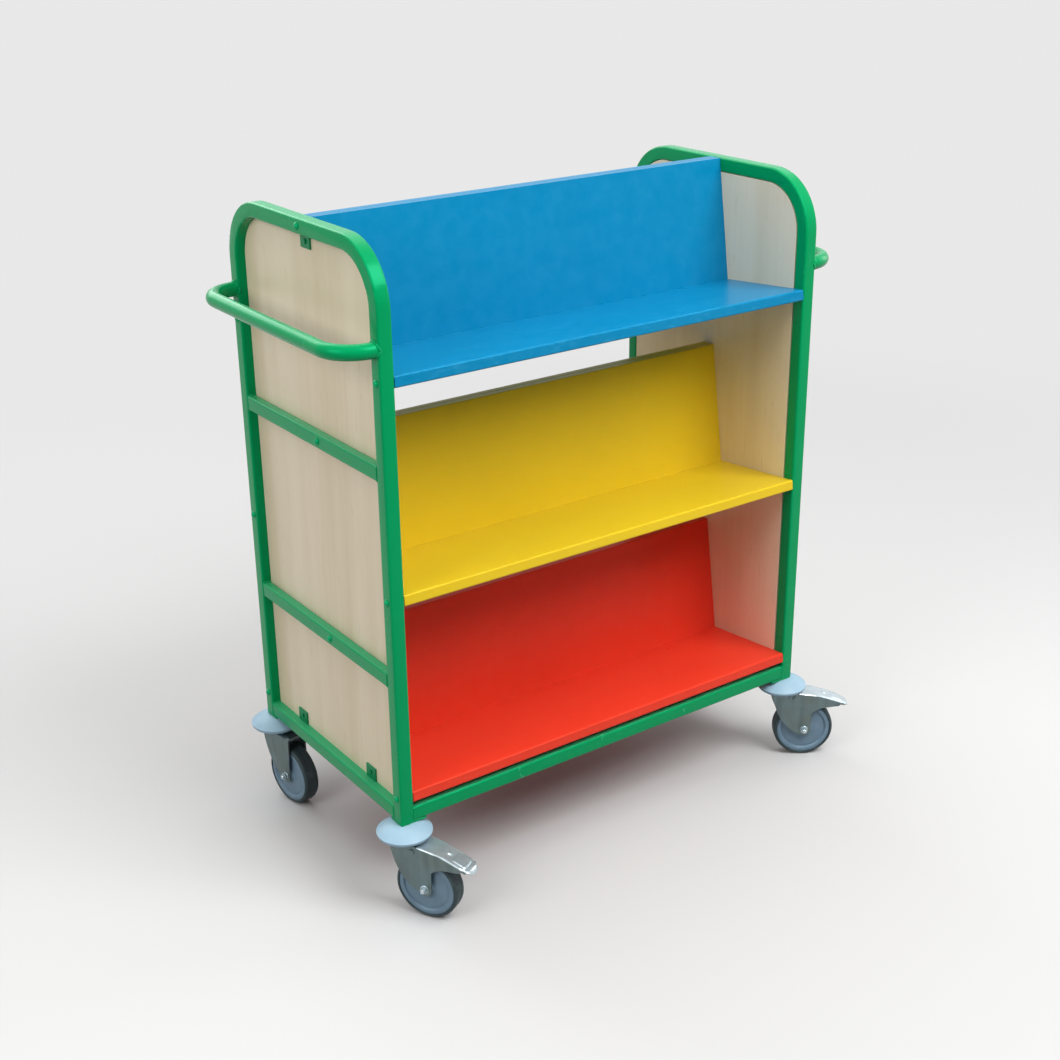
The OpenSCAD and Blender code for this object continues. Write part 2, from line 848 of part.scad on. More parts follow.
// The brake shoe under the pedal's web
module shoe() {
    up = pedal_top();
    d = up[3] - up[2];
    a = up[2] + 0.02 * d - [0, pedal_t + shoe_seat];
    b = up[2] + 0.8 * d - [0, pedal_t + shoe_seat];
    color(TYRE)
    rotate([90, 0, 0])
        linear_extrude(shoe_w, center = true)
            polygon([a, b, b - [0, 0.9 * shoe_h], a - [0, shoe_h]]);
}

// The pin that the pedal turns on, through both fork legs
module pedal_pin() {
    head = 1.5;
    color(ZINC)
    translate([pedal_pin_x, 0, pin_z])
        rotate([90, 0, 0]) {
            cylinder(h = pedal_w + 2 * turn_gap, d = pin_d, center = true);
            for (s = [-1, 1])
                translate([0, 0, s * (pedal_w / 2 + turn_gap + head / 2)])
                    cylinder(h = head, d = pin_d + 4, center = true);
        }
}

module left_hoop() { hoop_left(); }
module right_hoop() { at_end(1) hoop_left(); }
module left_upper_rail() { cross_rail_left(upper_rail_z); }
module right_upper_rail() { at_end(1) cross_rail_left(upper_rail_z); }
module left_lower_rail() { cross_rail_left(lower_rail_z); }
module right_lower_rail() { at_end(1) cross_rail_left(lower_rail_z); }
module left_bottom_rail() { bottom_rail_left(); }
module right_bottom_rail() { at_end(1) bottom_rail_left(); }
module left_panel() { panel_left(); }
module right_panel() { at_end(1) panel_left(); }
module left_handle() { handle_left(); }
module right_handle() { at_end(1) handle_left(); }
module front_bottom_rail() { long_rail(-1); }
module rear_bottom_rail() { long_rail(1); }
module bottom_front_shelf() { shelf(0, -1); }
module bottom_rear_shelf() { shelf(0, 1); }
module middle_front_shelf() { shelf(1, -1); }
module middle_rear_shelf() { shelf(1, 1); }
module top_front_shelf() { shelf(2, -1); }
module top_rear_shelf() { shelf(2, 1); }
module bottom_front_back() { back(0, -1); }
module bottom_rear_back() { back(0, 1); }
module middle_front_back() { back(1, -1); }
module middle_rear_back() { back(1, 1); }
module top_front_back() { back(2, -1); }
module top_rear_back() { back(2, 1); }
module panel_tabs() { for (e = [-1, 1]) at_end(e) tabs_left(); }
module tab_screws() { for (e = [-1, 1]) at_end(e) tab_screws_left(); }
module shelf_bolts() { for (e = [-1, 1]) at_end(e) shelf_bolts_left(); }
module rail_bolts() { for (e = [-1, 1]) at_end(e) rail_bolts_left(); }
module foot_plates() { for (c = CORNERS) foot_plate(c); }
module caster_stems() { for (c = CORNERS) at_corner(c) stem(); }
module swivel_bearings() { for (c = CORNERS) at_corner(c) bearing(); }

left_hoop();
left_upper_rail();
left_lower_rail();
left_bottom_rail();
left_panel();
left_handle();
right_hoop();
right_upper_rail();
right_lower_rail();
right_bottom_rail();
right_panel();
right_handle();
front_bottom_rail();
rear_bottom_rail();
top_front_shelf();
top_front_back();
top_rear_shelf();
top_rear_back();
middle_front_shelf();
middle_front_back();
middle_rear_shelf();
middle_rear_back();
bottom_front_shelf();
bottom_front_back();
bottom_rear_shelf();
bottom_rear_back();
panel_tabs();
tab_screws();
shelf_bolts();
rail_bolts();
foot_plates();
at_corner(CORNERS[0]) bumper();  // front_left_bumper
at_corner(CORNERS[1]) bumper();  // front_right_bumper
at_corner(CORNERS[2]) bumper();  // rear_left_bumper
at_corner(CORNERS[3]) bumper();  // rear_right_bumper
caster_stems();
swivel_bearings();
at_corner(CORNERS[0]) fork(true);  // front_left_fork
at_corner(CORNERS[0]) axle();  // front_left_axle
at_corner(CORNERS[0]) wheel();  // front_left_wheel
at_corner(CORNERS[0]) tyre();  // front_left_tyre
at_corner(CORNERS[1]) fork(true);  // front_right_fork
at_corner(CORNERS[1]) axle();  // front_right_axle
at_corner(CORNERS[1]) wheel();  // front_right_wheel
at_corner(CORNERS[1]) tyre();  // front_right_tyre
at_corner(CORNERS[2]) fork(false);  // rear_left_fork
at_corner(CORNERS[2]) axle();  // rear_left_axle
at_corner(CORNERS[2]) wheel();  // rear_left_wheel
at_corner(CORNERS[2]) tyre();  // rear_left_tyre
at_corner(CORNERS[3]) fork(false);  // rear_right_fork
at_corner(CORNERS[3]) axle();  // rear_right_axle
at_corner(CORNERS[3]) wheel();  // rear_right_wheel
at_corner(CORNERS[3]) tyre();  // rear_right_tyre
at_corner(CORNERS[0]) pedal();  // front_left_pedal
at_corner(CORNERS[0]) shoe();  // front_left_shoe
at_corner(CORNERS[0]) pedal_pin();  // front_left_pedal_pin
at_corner(CORNERS[1]) pedal();  // front_right_pedal
at_corner(CORNERS[1]) shoe();  // front_right_shoe
at_corner(CORNERS[1]) pedal_pin();  // front_right_pedal_pin
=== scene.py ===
"""Dresses the book trolley: paints, woods, castings and the studio it stands in.

Lengths are in metres, or in millimetres where a docstring says so, in the trolley's own frame: +Z is
up, the shelves run along X and the front side faces -Y.
"""
from __future__ import annotations

import logging
import math
import sys
from dataclasses import dataclass
from enum import Enum
from typing import Any, Callable, Sequence

import bmesh
import bpy
from mathutils import Matrix, Vector

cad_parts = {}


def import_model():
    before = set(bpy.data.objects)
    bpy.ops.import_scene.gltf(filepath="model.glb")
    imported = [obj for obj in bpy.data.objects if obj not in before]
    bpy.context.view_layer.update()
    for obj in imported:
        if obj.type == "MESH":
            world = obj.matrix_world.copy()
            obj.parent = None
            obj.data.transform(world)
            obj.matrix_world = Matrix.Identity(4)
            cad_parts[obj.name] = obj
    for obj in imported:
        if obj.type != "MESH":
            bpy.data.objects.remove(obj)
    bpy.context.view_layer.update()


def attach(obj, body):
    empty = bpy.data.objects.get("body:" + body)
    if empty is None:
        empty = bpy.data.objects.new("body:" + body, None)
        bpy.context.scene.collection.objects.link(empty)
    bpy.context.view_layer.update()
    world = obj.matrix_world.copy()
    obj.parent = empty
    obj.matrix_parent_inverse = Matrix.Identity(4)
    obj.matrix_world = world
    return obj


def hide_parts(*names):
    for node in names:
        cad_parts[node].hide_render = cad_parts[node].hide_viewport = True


LOG = logging.getLogger("book_trolley")
MM = 0.001
BODY = "trolley"
SAME_CORNER = 2e-6
SAME_PLANE = math.radians(0.6)

Flat = tuple[float, float]
Point = tuple[float, float, float]
Colour = tuple[float, float, float]
Light = tuple[float, float, float, float]
Piece = bpy.types.Object
Skin = bmesh.types.BMesh
Socket = bpy.types.NodeSocket


def linear(colour: Colour, factor: float = 1.0) -> Light:
    """Turns a colour as the eye reads it, 0 to 255 a channel, into linear light.

    Args:
        colour: the colour.
        factor: what each channel is multiplied by first.

    Returns:
        The light, with an alpha of 1.
    """
    out = []
    for channel in colour:
        c = min(255.0, channel * factor) / 255.0
        out.append(c / 12.92 if c <= 0.04045 else ((c + 0.055) / 1.055) ** 2.4)
    return (out[0], out[1], out[2], 1.0)


def grey(level: float) -> Light:
    """A neutral light."""
    return (level, level, level, 1.0)


# Node trees


class Wiring:
    """A node tree in the making, whose nodes all come from one method."""

    def __init__(self, tree: bpy.types.NodeTree) -> None:
        """Takes over a tree and clears it."""
        self.tree = tree
        tree.nodes.clear()

    def feed(self, socket: Socket, value: Any) -> None:
        """Links a reading or an output to a socket, or sets the socket's value.

        Args:
            socket: the socket.
            value: what goes in.
        """
        source = value.socket if isinstance(value, Reading) else value
        if isinstance(source, Socket):
            self.tree.links.new(source, socket)
        else:
            socket.default_value = source

    def node(self, kind: str, settings: dict[str, Any] | None = None, *ordered: Any,
             **named: Any) -> bpy.types.Node:
        """Adds any node.

        Args:
            kind: the node's type.
            settings: its properties, set before its sockets.
            ordered: values or links of its first sockets; None leaves a socket alone.
            named: values or links by socket name, with _ for a space.

        Returns:
            The node.
        """
        made = self.tree.nodes.new(kind)
        for key, value in (settings or {}).items():
            setattr(made, key, value)
        for socket, value in zip(made.inputs, ordered):
            if value is not None:
                self.feed(socket, value)
        for key, value in named.items():
            self.feed(made.inputs[key.replace("_", " ")], value)
        return made

    def parts(self, vector: Socket) -> list[Reading]:
        """Splits a vector into its three numbers."""
        split = self.node("ShaderNodeSeparateXYZ", None, vector)
        return [Reading(self, socket) for socket in split.outputs]

    def seen(self) -> Reading:
        """Tells the rays that are seen from those that light other things.

        Returns:
            1 for rays to the eye, in a mirror or through glass, and 0 for others.
        """
        path = self.node("ShaderNodeLightPath").outputs
        rays = [Reading(self, path[f"Is {way} Ray"]) for way in ("Camera", "Glossy", "Transmission")]
        return rays[0].most(rays[1]).most(rays[2])


class Reading:
    """A number that changes over a surface, so that sums of them read as sums."""

    def __init__(self, wiring: Wiring, socket: Socket) -> None:
        """Wraps the output socket that carries the number."""
        self.wiring = wiring
        self.socket = socket

    def _maths(self, operation: str, *values: Any) -> Reading:
        """Adds one Math node that works on the values in order."""
        node = self.wiring.node("ShaderNodeMath", {"operation": operation}, *values)
        return Reading(self.wiring, node.outputs[0])

    def __add__(self, other: Any) -> Reading:
        """Sum."""
        return self._maths("ADD", self, other)

    def __sub__(self, other: Any) -> Reading:
        """Difference."""
        return self._maths("SUBTRACT", self, other)

    def __rsub__(self, other: Any) -> Reading:
        """Difference from a plain number."""
        return self._maths("SUBTRACT", other, self)

    def __mul__(self, other: Any) -> Reading:
        """Product."""
        return self._maths("MULTIPLY", self, other)

    def __pow__(self, other: Any) -> Reading:
        """Power."""
        return self._maths("POWER", self, other)

    __radd__ = __add__
    __rmul__ = __mul__

    def __abs__(self) -> Reading:
        """Size without sign."""
        return self._maths("ABSOLUTE", self)

    def most(self, other: Any) -> Reading:
        """The larger of two."""
        return self._maths("MAXIMUM", self, other)

    def sine(self) -> Reading:
        """Sine, in radians."""
        return self._maths("SINE", self)

    def between(self, start: float, end: float) -> Reading:
        """A soft step.

        Args:
            start: where it is 0.
            end: where it is 1; it may lie below the start.

        Returns:
            A number from 0 to 1.
        """
        first, last = (0.0, 1.0) if start < end else (1.0, 0.0)
        node = self.wiring.node("ShaderNodeMapRange", {"interpolation_type": "SMOOTHSTEP"}, self,
                                min(start, end), max(start, end), first, last)
        return Reading(self.wiring, node.outputs[0])


@dataclass(frozen=True)
class Cloud:
    """A cloudy pattern: clouds in a metre, finer layers and their strength, stretch, offset and warp."""

    scale: float
    detail: float = 2.0
    rough: float = 0.5
    stretch: Point = (1, 1, 1)
    shift: Point = (0, 0, 0)
    warp: float = 0.0


class Coat(Wiring):
    """A material in the making: one principled surface and the patterns that feed it."""

    facing_up: Flat = (0.84, 1.0)

    def __init__(self, name: str) -> None:
        """Starts a material.

        Args:
            name: the material's name.
        """
        self.material = bpy.data.materials.new(name)
        self.material.use_nodes = True
        super().__init__(self.material.node_tree)
        self.surface = self.node("ShaderNodeBsdfPrincipled")
        self.output = self.node("ShaderNodeOutputMaterial", None, self.surface.outputs[0])
        self.place = self.node("ShaderNodeTexCoord").outputs["Object"]
        self.x, self.y, self.z = self.parts(self.place)

    def noise(self, cloud: Cloud) -> Reading:
        """Lays a cloudy pattern over the surface.

        Args:
            cloud: the pattern.

        Returns:
            A number round 0.5.
        """
        spot = self.node("ShaderNodeMapping", None, self.place, Location=cloud.shift, Scale=cloud.stretch)
        made = self.node("ShaderNodeTexNoise", {"noise_dimensions": "3D"}, Vector=spot.outputs[0],
                         Scale=cloud.scale, Detail=cloud.detail, Roughness=cloud.rough,
                         Distortion=cloud.warp)
        return Reading(self, made.outputs[0])

    def cells(self, scale: float) -> Reading:
        """The distance to the middle of the nearest cell, with so many cells in a metre."""
        made = self.node("ShaderNodeTexVoronoi", None, Vector=self.place, Scale=scale)
        return Reading(self, made.outputs["Distance"])

    def upward(self) -> Reading:
        """How squarely the surface faces up, for the painted sheen on upward faces."""
        normal = self.node("ShaderNodeTexCoord").outputs["Normal"]
        return self.parts(normal)[2].between(*self.facing_up)

    def blend(self, amount: Any, first: Any, second: Any) -> Socket:
        """Mixes two colours.

        Args:
            amount: how much of the second.
            first: a colour or a colour socket.
            second: a colour or a colour socket.

        Returns:
            The mixed colour's socket.
        """
        other_kinds = [None] * 5
        made = self.node("ShaderNodeMix", {"data_type": "RGBA"}, amount, *other_kinds, first, second)
        return made.outputs[2]

    def relief(self, height: Reading, depth: float, strength: float) -> Socket:
        """The normal of a surface that a pattern raises by a depth in metres."""
        return self.node("ShaderNodeBump", None, Height=height, Distance=depth, Strength=strength).outputs[0]

    def dress(self, **values: Any) -> bpy.types.Material:
        """Feeds the surface's sockets.

        Args:
            values: values or links by socket name, with _ for a space.

        Returns:
            The material.
        """
        for key, value in values.items():
            self.feed(self.surface.inputs[key.replace("_", " ")], value)
        return self.material


# Finishes


@dataclass(frozen=True)
class PowderCoat:
    """Glossy baked paint on steel tube, with a faint orange peel, thin rub marks and a painted sheen on
    upward faces.
    """

    name: str
    colour: Colour
    # the colour of the rub marks, and of the painted sheen on upward faces
    rub_and_sheen: Colour
    gloss: float = 0.25
    shine: float = 0.36
    tint: Colour = (60, 245, 190)
    shades: Flat = (0.93, 1.06)
    cloud: Cloud = Cloud(9.0, 3.0, 0.55)
    speck: Cloud = Cloud(420.0, 1.0)
    peel: Cloud = Cloud(260.0)
    peel_depth: float = 0.00005
    marks: Cloud = Cloud(60.0, 4.0, 0.7, (1, 1, 0.25))
    marks_from: Flat = (0.66, 0.74)
    # heights between which kicks set in, and how much the marks show there and anywhere
    kicked: Flat = (0.30, 0.17)
    kicked_marks: float = 0.35
    marks_anywhere: float = 0.10
    # how far upward faces are paled towards the rub colour: a painted sheen
    top_sheen: float = 0.22

    def make(self) -> bpy.types.Material:
        """Builds the material.

        Returns:
            The material.
        """
        coat = Coat(self.name)
        cloud = coat.noise(self.cloud)
        speck = coat.noise(self.speck)
        peel = coat.noise(self.peel)
        marks = coat.noise(self.marks).between(*self.marks_from)
        low = coat.z.between(*self.kicked)
        dark, light = (linear(self.colour, shade) for shade in self.shades)
        base = coat.blend((cloud - 0.5) * 0.5 + 0.5, dark, light)
        rubbed = marks * (low * self.kicked_marks + self.marks_anywhere)
        base = coat.blend(rubbed, base, linear(self.rub_and_sheen))
        # painted sheen: upward faces paled towards the rub colour, standing in for highlights along the tops
        # of the tubes
        base = coat.blend(coat.upward() * self.top_sheen, base, linear(self.rub_and_sheen))
        rough = self.gloss + (cloud - 0.5) * 0.12 + (speck - 0.5) * 0.05 + marks * 0.12
        return coat.dress(Base_Color=base, Roughness=rough, Normal=coat.relief(peel, self.peel_depth, 0.3),
                          Specular_IOR_Level=self.shine, Specular_Tint=linear(self.tint))


@dataclass(frozen=True)
class PaintedBoard:
    """Satin lacquered board: faint mottling, fine stipple, and rubbed front edges."""

    name: str
    colour: Colour
    edge: Colour
    tint: Colour
    gloss: float = 0.3
    shine: float = 0.28
    shades: Flat = (0.95, 1.04)
    cloud: Cloud = Cloud(5.5, 3.0)
    mottle: Cloud = Cloud(38.0, 3.0, 0.6)
    stipple: Cloud = Cloud(900.0, 2.0, 0.55)
    stipple_depth: float = 0.00008
    scratch: Cloud = Cloud(24.0, 4.0, 0.75, (0.18, 1, 1), warp=0.4)
    scratch_from: Flat = (0.58, 0.72)
    wear: Cloud = Cloud(160.0, 3.0, 0.7, (0.3, 1, 1))
    wear_from: Flat = (0.52, 0.70)
    rub_from: float = 0.2385
    rub_width: float = 0.003

    def make(self) -> bpy.types.Material:
        """Builds the material.

        Returns:
            The material.
        """
        coat = Coat(self.name)
        cloud = coat.noise(self.cloud)
        mottle = coat.noise(self.mottle)
        stipple = coat.noise(self.stipple)
        scratch = coat.noise(self.scratch).between(*self.scratch_from)
        front = abs(coat.y).between(self.rub_from, self.rub_from + self.rub_width)
        worn = front * coat.noise(self.wear).between(*self.wear_from)
        dark, light = (linear(self.colour, shade) for shade in self.shades)
        base = coat.blend((cloud - 0.5) * 0.7 + 0.5, dark, light)
        base = coat.blend((mottle - 0.35) * 0.16, base, linear(self.edge))
        base = coat.blend(worn * 0.14, base, linear(self.edge))
        rough = self.gloss + (mottle - 0.5) * 0.10 + scratch * 0.06 + worn * 0.08
        raised = coat.relief(stipple * 0.7 + mottle * 0.3, self.stipple_depth, 0.3)
        return coat.dress(Base_Color=base, Roughness=rough, Normal=raised, Specular_IOR_Level=self.shine,
                          Specular_Tint=linear(self.tint))


@dataclass(frozen=True)
class BirchVeneer:
    """Pale birch with upright grain, soft leaf bands, small flecks and a satin lacquer."""

    name: str
    light: Colour = (230, 216, 190)
    dark: Colour = (216, 198, 168)
    rosy: Colour = (226, 202, 176)
    fleck: Colour = (176, 148, 114)
    gloss: float = 0.42
    wander: Cloud = Cloud(3.0, stretch=(1, 1, 0.5))
    leaf: Cloud = Cloud(13.0, 1.0, 0.4, (1, 1, 0.03), (0.3, 1.7, 0))
    grain: Cloud = Cloud(85.0, 4.0, 0.6, (1, 1, 0.045), warp=0.35)
    fine: Cloud = Cloud(420.0, 3.0, 0.6, (1, 1, 0.03))
    grain_depth: float = 0.00006
    flame_pitch: float = 95.0
    flame_lean: float = 3.0
    flame_sway: float = 0.16
    dash: Cloud = Cloud(240.0, 1.0, 0.4, (1, 1, 0.11), (0, 3, 5))
    dash_from: Flat = (0.70, 0.78)
    rosy_from: Flat = (0.45, 0.75)

    def make(self) -> bpy.types.Material:
        """Builds the material.

        Returns:
            The material.
        """
        coat = Coat(self.name)
        wander = coat.noise(self.wander)
        leaf = coat.noise(self.leaf)
        grain = coat.noise(self.grain)
        fine = coat.noise(self.fine)
        across = (coat.y + wander * self.flame_sway) * self.flame_pitch
        flame = (across + coat.z * self.flame_lean).sine() * 0.5 + 0.5
        dash = coat.noise(self.dash).between(*self.dash_from)
        tone = (leaf - 0.5) * 1.5 + (grain - 0.5) * 0.5 + (fine - 0.5) * 0.25 + (flame - 0.5) * 0.14 + 0.45
        base = coat.blend(tone.between(0.0, 1.0), linear(self.light), linear(self.dark))
        base = coat.blend(wander.between(*self.rosy_from) * 0.45, base, linear(self.rosy))
        base = coat.blend(dash * 0.22, base, linear(self.fleck))
        rough = self.gloss + (grain - 0.5) * 0.12 - (leaf - 0.5) * 0.08
        raised = coat.relief(grain * 0.5 + fine * 0.5, self.grain_depth, 0.35)
        return coat.dress(Base_Color=base, Roughness=rough, Normal=raised, Coat_Weight=0.12,
                          Coat_Roughness=0.22, Specular_IOR_Level=0.35)


@dataclass(frozen=True)
class ZincPlate:
    """Bright zinc over pressed steel, with faint cells, soft streaks and a yellow cast in places."""

    name: str
    colour: Colour = (110, 128, 131)
    cast: Colour = (106, 117, 112)
    shade: Colour = (78, 92, 95)
    gloss: float = 0.34
    metal: float = 0.85
    spangles: float = 70.0
    cloud: Cloud = Cloud(28.0, 3.0, 0.55)
    cast_from: Flat = (0.3, 0.75)
    streak: Cloud = Cloud(75.0, 1.0, 0.4, (1, 1, 0.08))
    shade_from: Flat = (0.30, 0.72)
    streak_depth: float = 0.00004

    def make(self) -> bpy.types.Material:
        """Builds the material.

        Returns:
            The material.
        """
        coat = Coat(self.name)
        spangle = coat.cells(self.spangles)
        cloud = coat.noise(self.cloud)
        streak = coat.noise(self.streak)
        base = coat.blend(cloud.between(*self.cast_from) * 0.8, linear(self.colour), linear(self.cast))
        base = coat.blend(streak.between(*self.shade_from) * 0.42, base, linear(self.shade))
        rough = self.gloss + (cloud - 0.5) * 0.10 + (spangle - 0.4) * 0.03 + (streak - 0.5) * 0.06
        raised = coat.relief(streak * 0.8 + cloud * 0.2, self.streak_depth, 0.2)
        return coat.dress(Base_Color=base, Roughness=rough, Normal=raised, Metallic=self.metal)


@dataclass(frozen=True)
class MouldedPlastic:
    """Moulded plastic with a fine spark-eroded skin and slight shading from handling."""

    name: str
    colour: Colour
    shade: Colour
    gloss: float
    scuffed: Colour = (200, 205, 205)
    cloud: Cloud = Cloud(32.0, 3.0, 0.55)
    shade_from: Flat = (0.3, 0.8)
    scuff: Cloud = Cloud(90.0, 5.0, 0.75, warp=0.6)
    scuff_from: Flat = (0.60, 0.72)
    skin: Cloud = Cloud(1100.0, 2.0, 0.6)
    skin_depth: float = 0.00008

    def make(self) -> bpy.types.Material:
        """Builds the material.

        Returns:
            The material.
        """
        coat = Coat(self.name)
        cloud = coat.noise(self.cloud)
        skin = coat.noise(self.skin)
        scuff = coat.noise(self.scuff).between(*self.scuff_from)
        base = coat.blend(cloud.between(*self.shade_from) * 0.6, linear(self.colour), linear(self.shade))
        base = coat.blend(scuff * 0.14, base, linear(self.scuffed))
        rough = self.gloss + (cloud - 0.5) * 0.12 + scuff * 0.1 + (skin - 0.5) * 0.06
        return coat.dress(Base_Color=base, Roughness=rough, Normal=coat.relief(skin, self.skin_depth, 0.4),
                          IOR=1.47)


@dataclass(frozen=True)
class TreadRubber:
    """Dark rubber, dusty on the tread, with a matt skin."""

    name: str
    colour: Colour = (36, 54, 58)
    dust: Colour = (90, 106, 108)
    gloss: float = 0.62
    cloud: Cloud = Cloud(55.0, 4.0, 0.6)
    dust_from: Flat = (0.46, 0.70)
    floor_dust: Flat = (0.03, 0.0)
    skin: Cloud = Cloud(1300.0, 2.0, 0.6)
    skin_depth: float = 0.00008

    def make(self) -> bpy.types.Material:
        """Builds the material.

        Returns:
            The material.
        """
        coat = Coat(self.name)
        cloud = coat.noise(self.cloud)
        skin = coat.noise(self.skin)
        dusty = cloud.between(*self.dust_from) * 0.30 + coat.z.between(*self.floor_dust) * 0.12
        rough = self.gloss + (cloud - 0.5) * 0.2 + (skin - 0.5) * 0.08
        base = coat.blend(dusty, linear(self.colour), linear(self.dust))
        return coat.dress(Base_Color=base, Roughness=rough, Normal=coat.relief(skin, self.skin_depth, 0.5),
                          IOR=1.5)


class Finish(Enum):
    """The finishes that the trolley's pieces take, each with its record slot."""

    FRAME = ("frame_paint", PowderCoat("green powder coat", (3, 146, 85), (110, 200, 160)))
    # a slightly lighter copy of the frame paint with a paler sheen colour: painted highlight on the dome
    # heads and weld lumps
    BOLT = ("frame_paint", PowderCoat("green bolt paint", (5, 152, 91), (120, 208, 168), 0.16, 0.7))
    # a darker copy of the frame paint: painted shade on the recessed tabs and their screws
    TAB = ("frame_paint", PowderCoat("green tab paint in painted shade", (2, 122, 72), (60, 160, 118), 0.3, 0.35))
    PANEL = ("panel_wood", BirchVeneer("birch veneer"))
    BLUE = ("blue_board", PaintedBoard("blue board", (5, 124, 170), (90, 184, 228), (120, 220, 255)))
    YELLOW = ("yellow_board", PaintedBoard("yellow board", (224, 190, 36), (232, 208, 84), (255, 240, 150)))
    RED = ("red_board", PaintedBoard("red board", (228, 60, 40), (238, 104, 80), (255, 170, 150)))
    ZINC = ("zinc", ZincPlate("zinc plate"))
    # a lighter copy of the zinc: painted light on the pedal's upward web and the axle's hexagons
    LIT_ZINC = ("zinc", ZincPlate("zinc in painted light", (160, 178, 186), (148, 166, 172), (128, 146, 154), 0.3, 0.5))
    # a whiter copy of the zinc: painted highlight on the pedal's rolled corners and tip, and the axle's
    # washers and bolt end
    HIGHLIGHT_ZINC = ("zinc", ZincPlate("zinc in painted highlight", (206, 220, 226), (194, 208, 214), (176, 190, 196),
                                  0.2, 0.6))
    WHEEL = ("wheel_plastic", MouldedPlastic("wheel plastic", (112, 138, 157), (96, 119, 136), 0.42))
    TYRE = ("tyre_rubber", TreadRubber("tyre rubber"))
    BUMPER = ("bumper_plastic", MouldedPlastic("bumper plastic", (150, 181, 200), (140, 170, 191), 0.46))

    def material(self) -> bpy.types.Material:
        """The finish's material, made once."""
        return bpy.data.materials.get(self.value[1].name) or self.value[1].make()

    @property
    def slot(self) -> str:
        """The record's slot."""
        return self.value[0]


# Mesh helpers


def in_scene(name: str, data: Any) -> Piece:
    """Puts a mesh, a lamp or a camera in the scene.

    Args:
        name: the object's name.
        data: the mesh, lamp or camera.

    Returns:
        The object.
    """
    made = bpy.data.objects.new(name, data)
    bpy.context.scene.collection.objects.link(made)
    return made


def as_object(name: str, bm: Skin, finishes: Sequence[Finish], smooth: float) -> Piece:
    """Makes an object from a mesh in the making.

    Args:
        name: the piece's name.
        bm: the mesh, in the trolley's frame; it is freed.
        finishes: what the faces are finished in, by their material index.
        smooth: edges sharper than this many degrees stay sharp.

    Returns:
        The object, at the origin.
    """
    for face in bm.faces:
        face.smooth = True
    limit = math.radians(smooth)
    for edge in bm.edges:
        edge.smooth = len(edge.link_faces) == 2 and edge.calc_face_angle(0.0) < limit
    mesh = bpy.data.meshes.new(name)
    bm.to_mesh(mesh)
    bm.free()
    for finish in finishes:
        mesh.materials.append(finish.material())
    return in_scene(name, mesh)


def add_modifier(piece: Piece, kind: str, **settings: Any) -> bpy.types.Modifier:
    """Adds a modifier.

    Args:
        piece: the piece that takes it.
        kind: the modifier's type.
        settings: its properties.

    Returns:
        The modifier.
    """
    made = piece.modifiers.new(kind.title(), kind)
    for key, value in settings.items():
        setattr(made, key, value)
    return made


def settle(piece: Piece) -> None:
    """Turns a piece's modifiers into plain mesh.

    Args:
        piece: the piece.
    """
    graph = bpy.context.evaluated_depsgraph_get()
    graph.update()
    mesh = bpy.data.meshes.new_from_object(piece.evaluated_get(graph))
    old = piece.data
    piece.modifiers.clear()
    piece.data = mesh
    bpy.data.meshes.remove(old)


def soften(piece: Piece, width: float, smooth: float) -> None:
    """Rounds a piece's sharp edges and keeps its flat faces flat in the light.

    Args:
        piece: the piece; any modifiers it has are settled too.
        width: the width of the softened edges.
        smooth: edges sharper than this many degrees are softened.
    """
    add_modifier(piece, "BEVEL", width=width, segments=2, limit_method="ANGLE",
                 angle_limit=math.radians(smooth), use_clamp_overlap=True)
    settle(piece)
    for polygon in piece.data.polygons:
        polygon.use_smooth = True
    add_modifier(piece, "WEIGHTED_NORMAL", weight=50, keep_sharp=False)
    settle(piece)


def piece_done(piece: Piece, body: str, finish: Finish, *nodes: str) -> None:
    """Seats a finished piece in the trolley.

    Args:
        piece: the piece.
        body: the body that it moves with.
        finish: its finish; not used.
        nodes: the CAD nodes that it stands for.
    """
    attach(piece, body)
    if nodes:
        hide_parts(*nodes)
    LOG.info("%s rides on %s, %d faces", piece.name, body, len(piece.data.polygons))


def dress_node(node: str, body: str, finish: Finish, edge: float, smooth: float = 30.0) -> None:
    """Stands a smooth copy of a CAD node, with softened edges, in the node's place.

    Args:
        node: the node's name.
        body: the body that it moves with.
        finish: what the copy is finished in.
        edge: the width of the softened edges, 0 for none.
        smooth: edges sharper than this many degrees stay sharp or are softened.
    """
    bm = bmesh.new()
    bm.from_mesh(bpy.data.objects[node].data)
    bmesh.ops.remove_doubles(bm, verts=bm.verts, dist=SAME_CORNER)
    bmesh.ops.dissolve_limit(bm, angle_limit=SAME_PLANE, verts=bm.verts, edges=bm.edges,
                             delimit={"NORMAL"})
    piece = as_object(f"{node}_skin", bm, [finish], smooth)
    if edge > 0.0:
        soften(piece, edge, smooth)
    piece_done(piece, body, finish, node)


def sheet(rows: Sequence[Sequence[Point]], place: Matrix,
          keep: Callable[[int, int], bool] = lambda i, j: True) -> Skin:
    """Lays a skin of four-sided faces over rows of points.

    Args:
        rows: the points, row by row, in millimetres.
        place: from the points' frame to the trolley's.
        keep: tells from a face's row and column if it is there.

    Returns:
        The skin.
    """
    bm = bmesh.new()
    grid = [[bm.verts.new(place @ (Vector(point) * MM)) for point in row] for row in rows]
    for i in range(len(rows) - 1):
        for j in range(len(rows[i]) - 1):
            if keep(i, j):
                bm.faces.new((grid[i][j], grid[i][j + 1], grid[i + 1][j + 1], grid[i + 1][j]))
    loose = [vert for vert in bm.verts if not vert.link_faces]
    bmesh.ops.delete(bm, geom=loose, context="VERTS")
    bmesh.ops.remove_doubles(bm, verts=bm.verts, dist=SAME_CORNER / 2)
    bm.normal_update()
    return bm


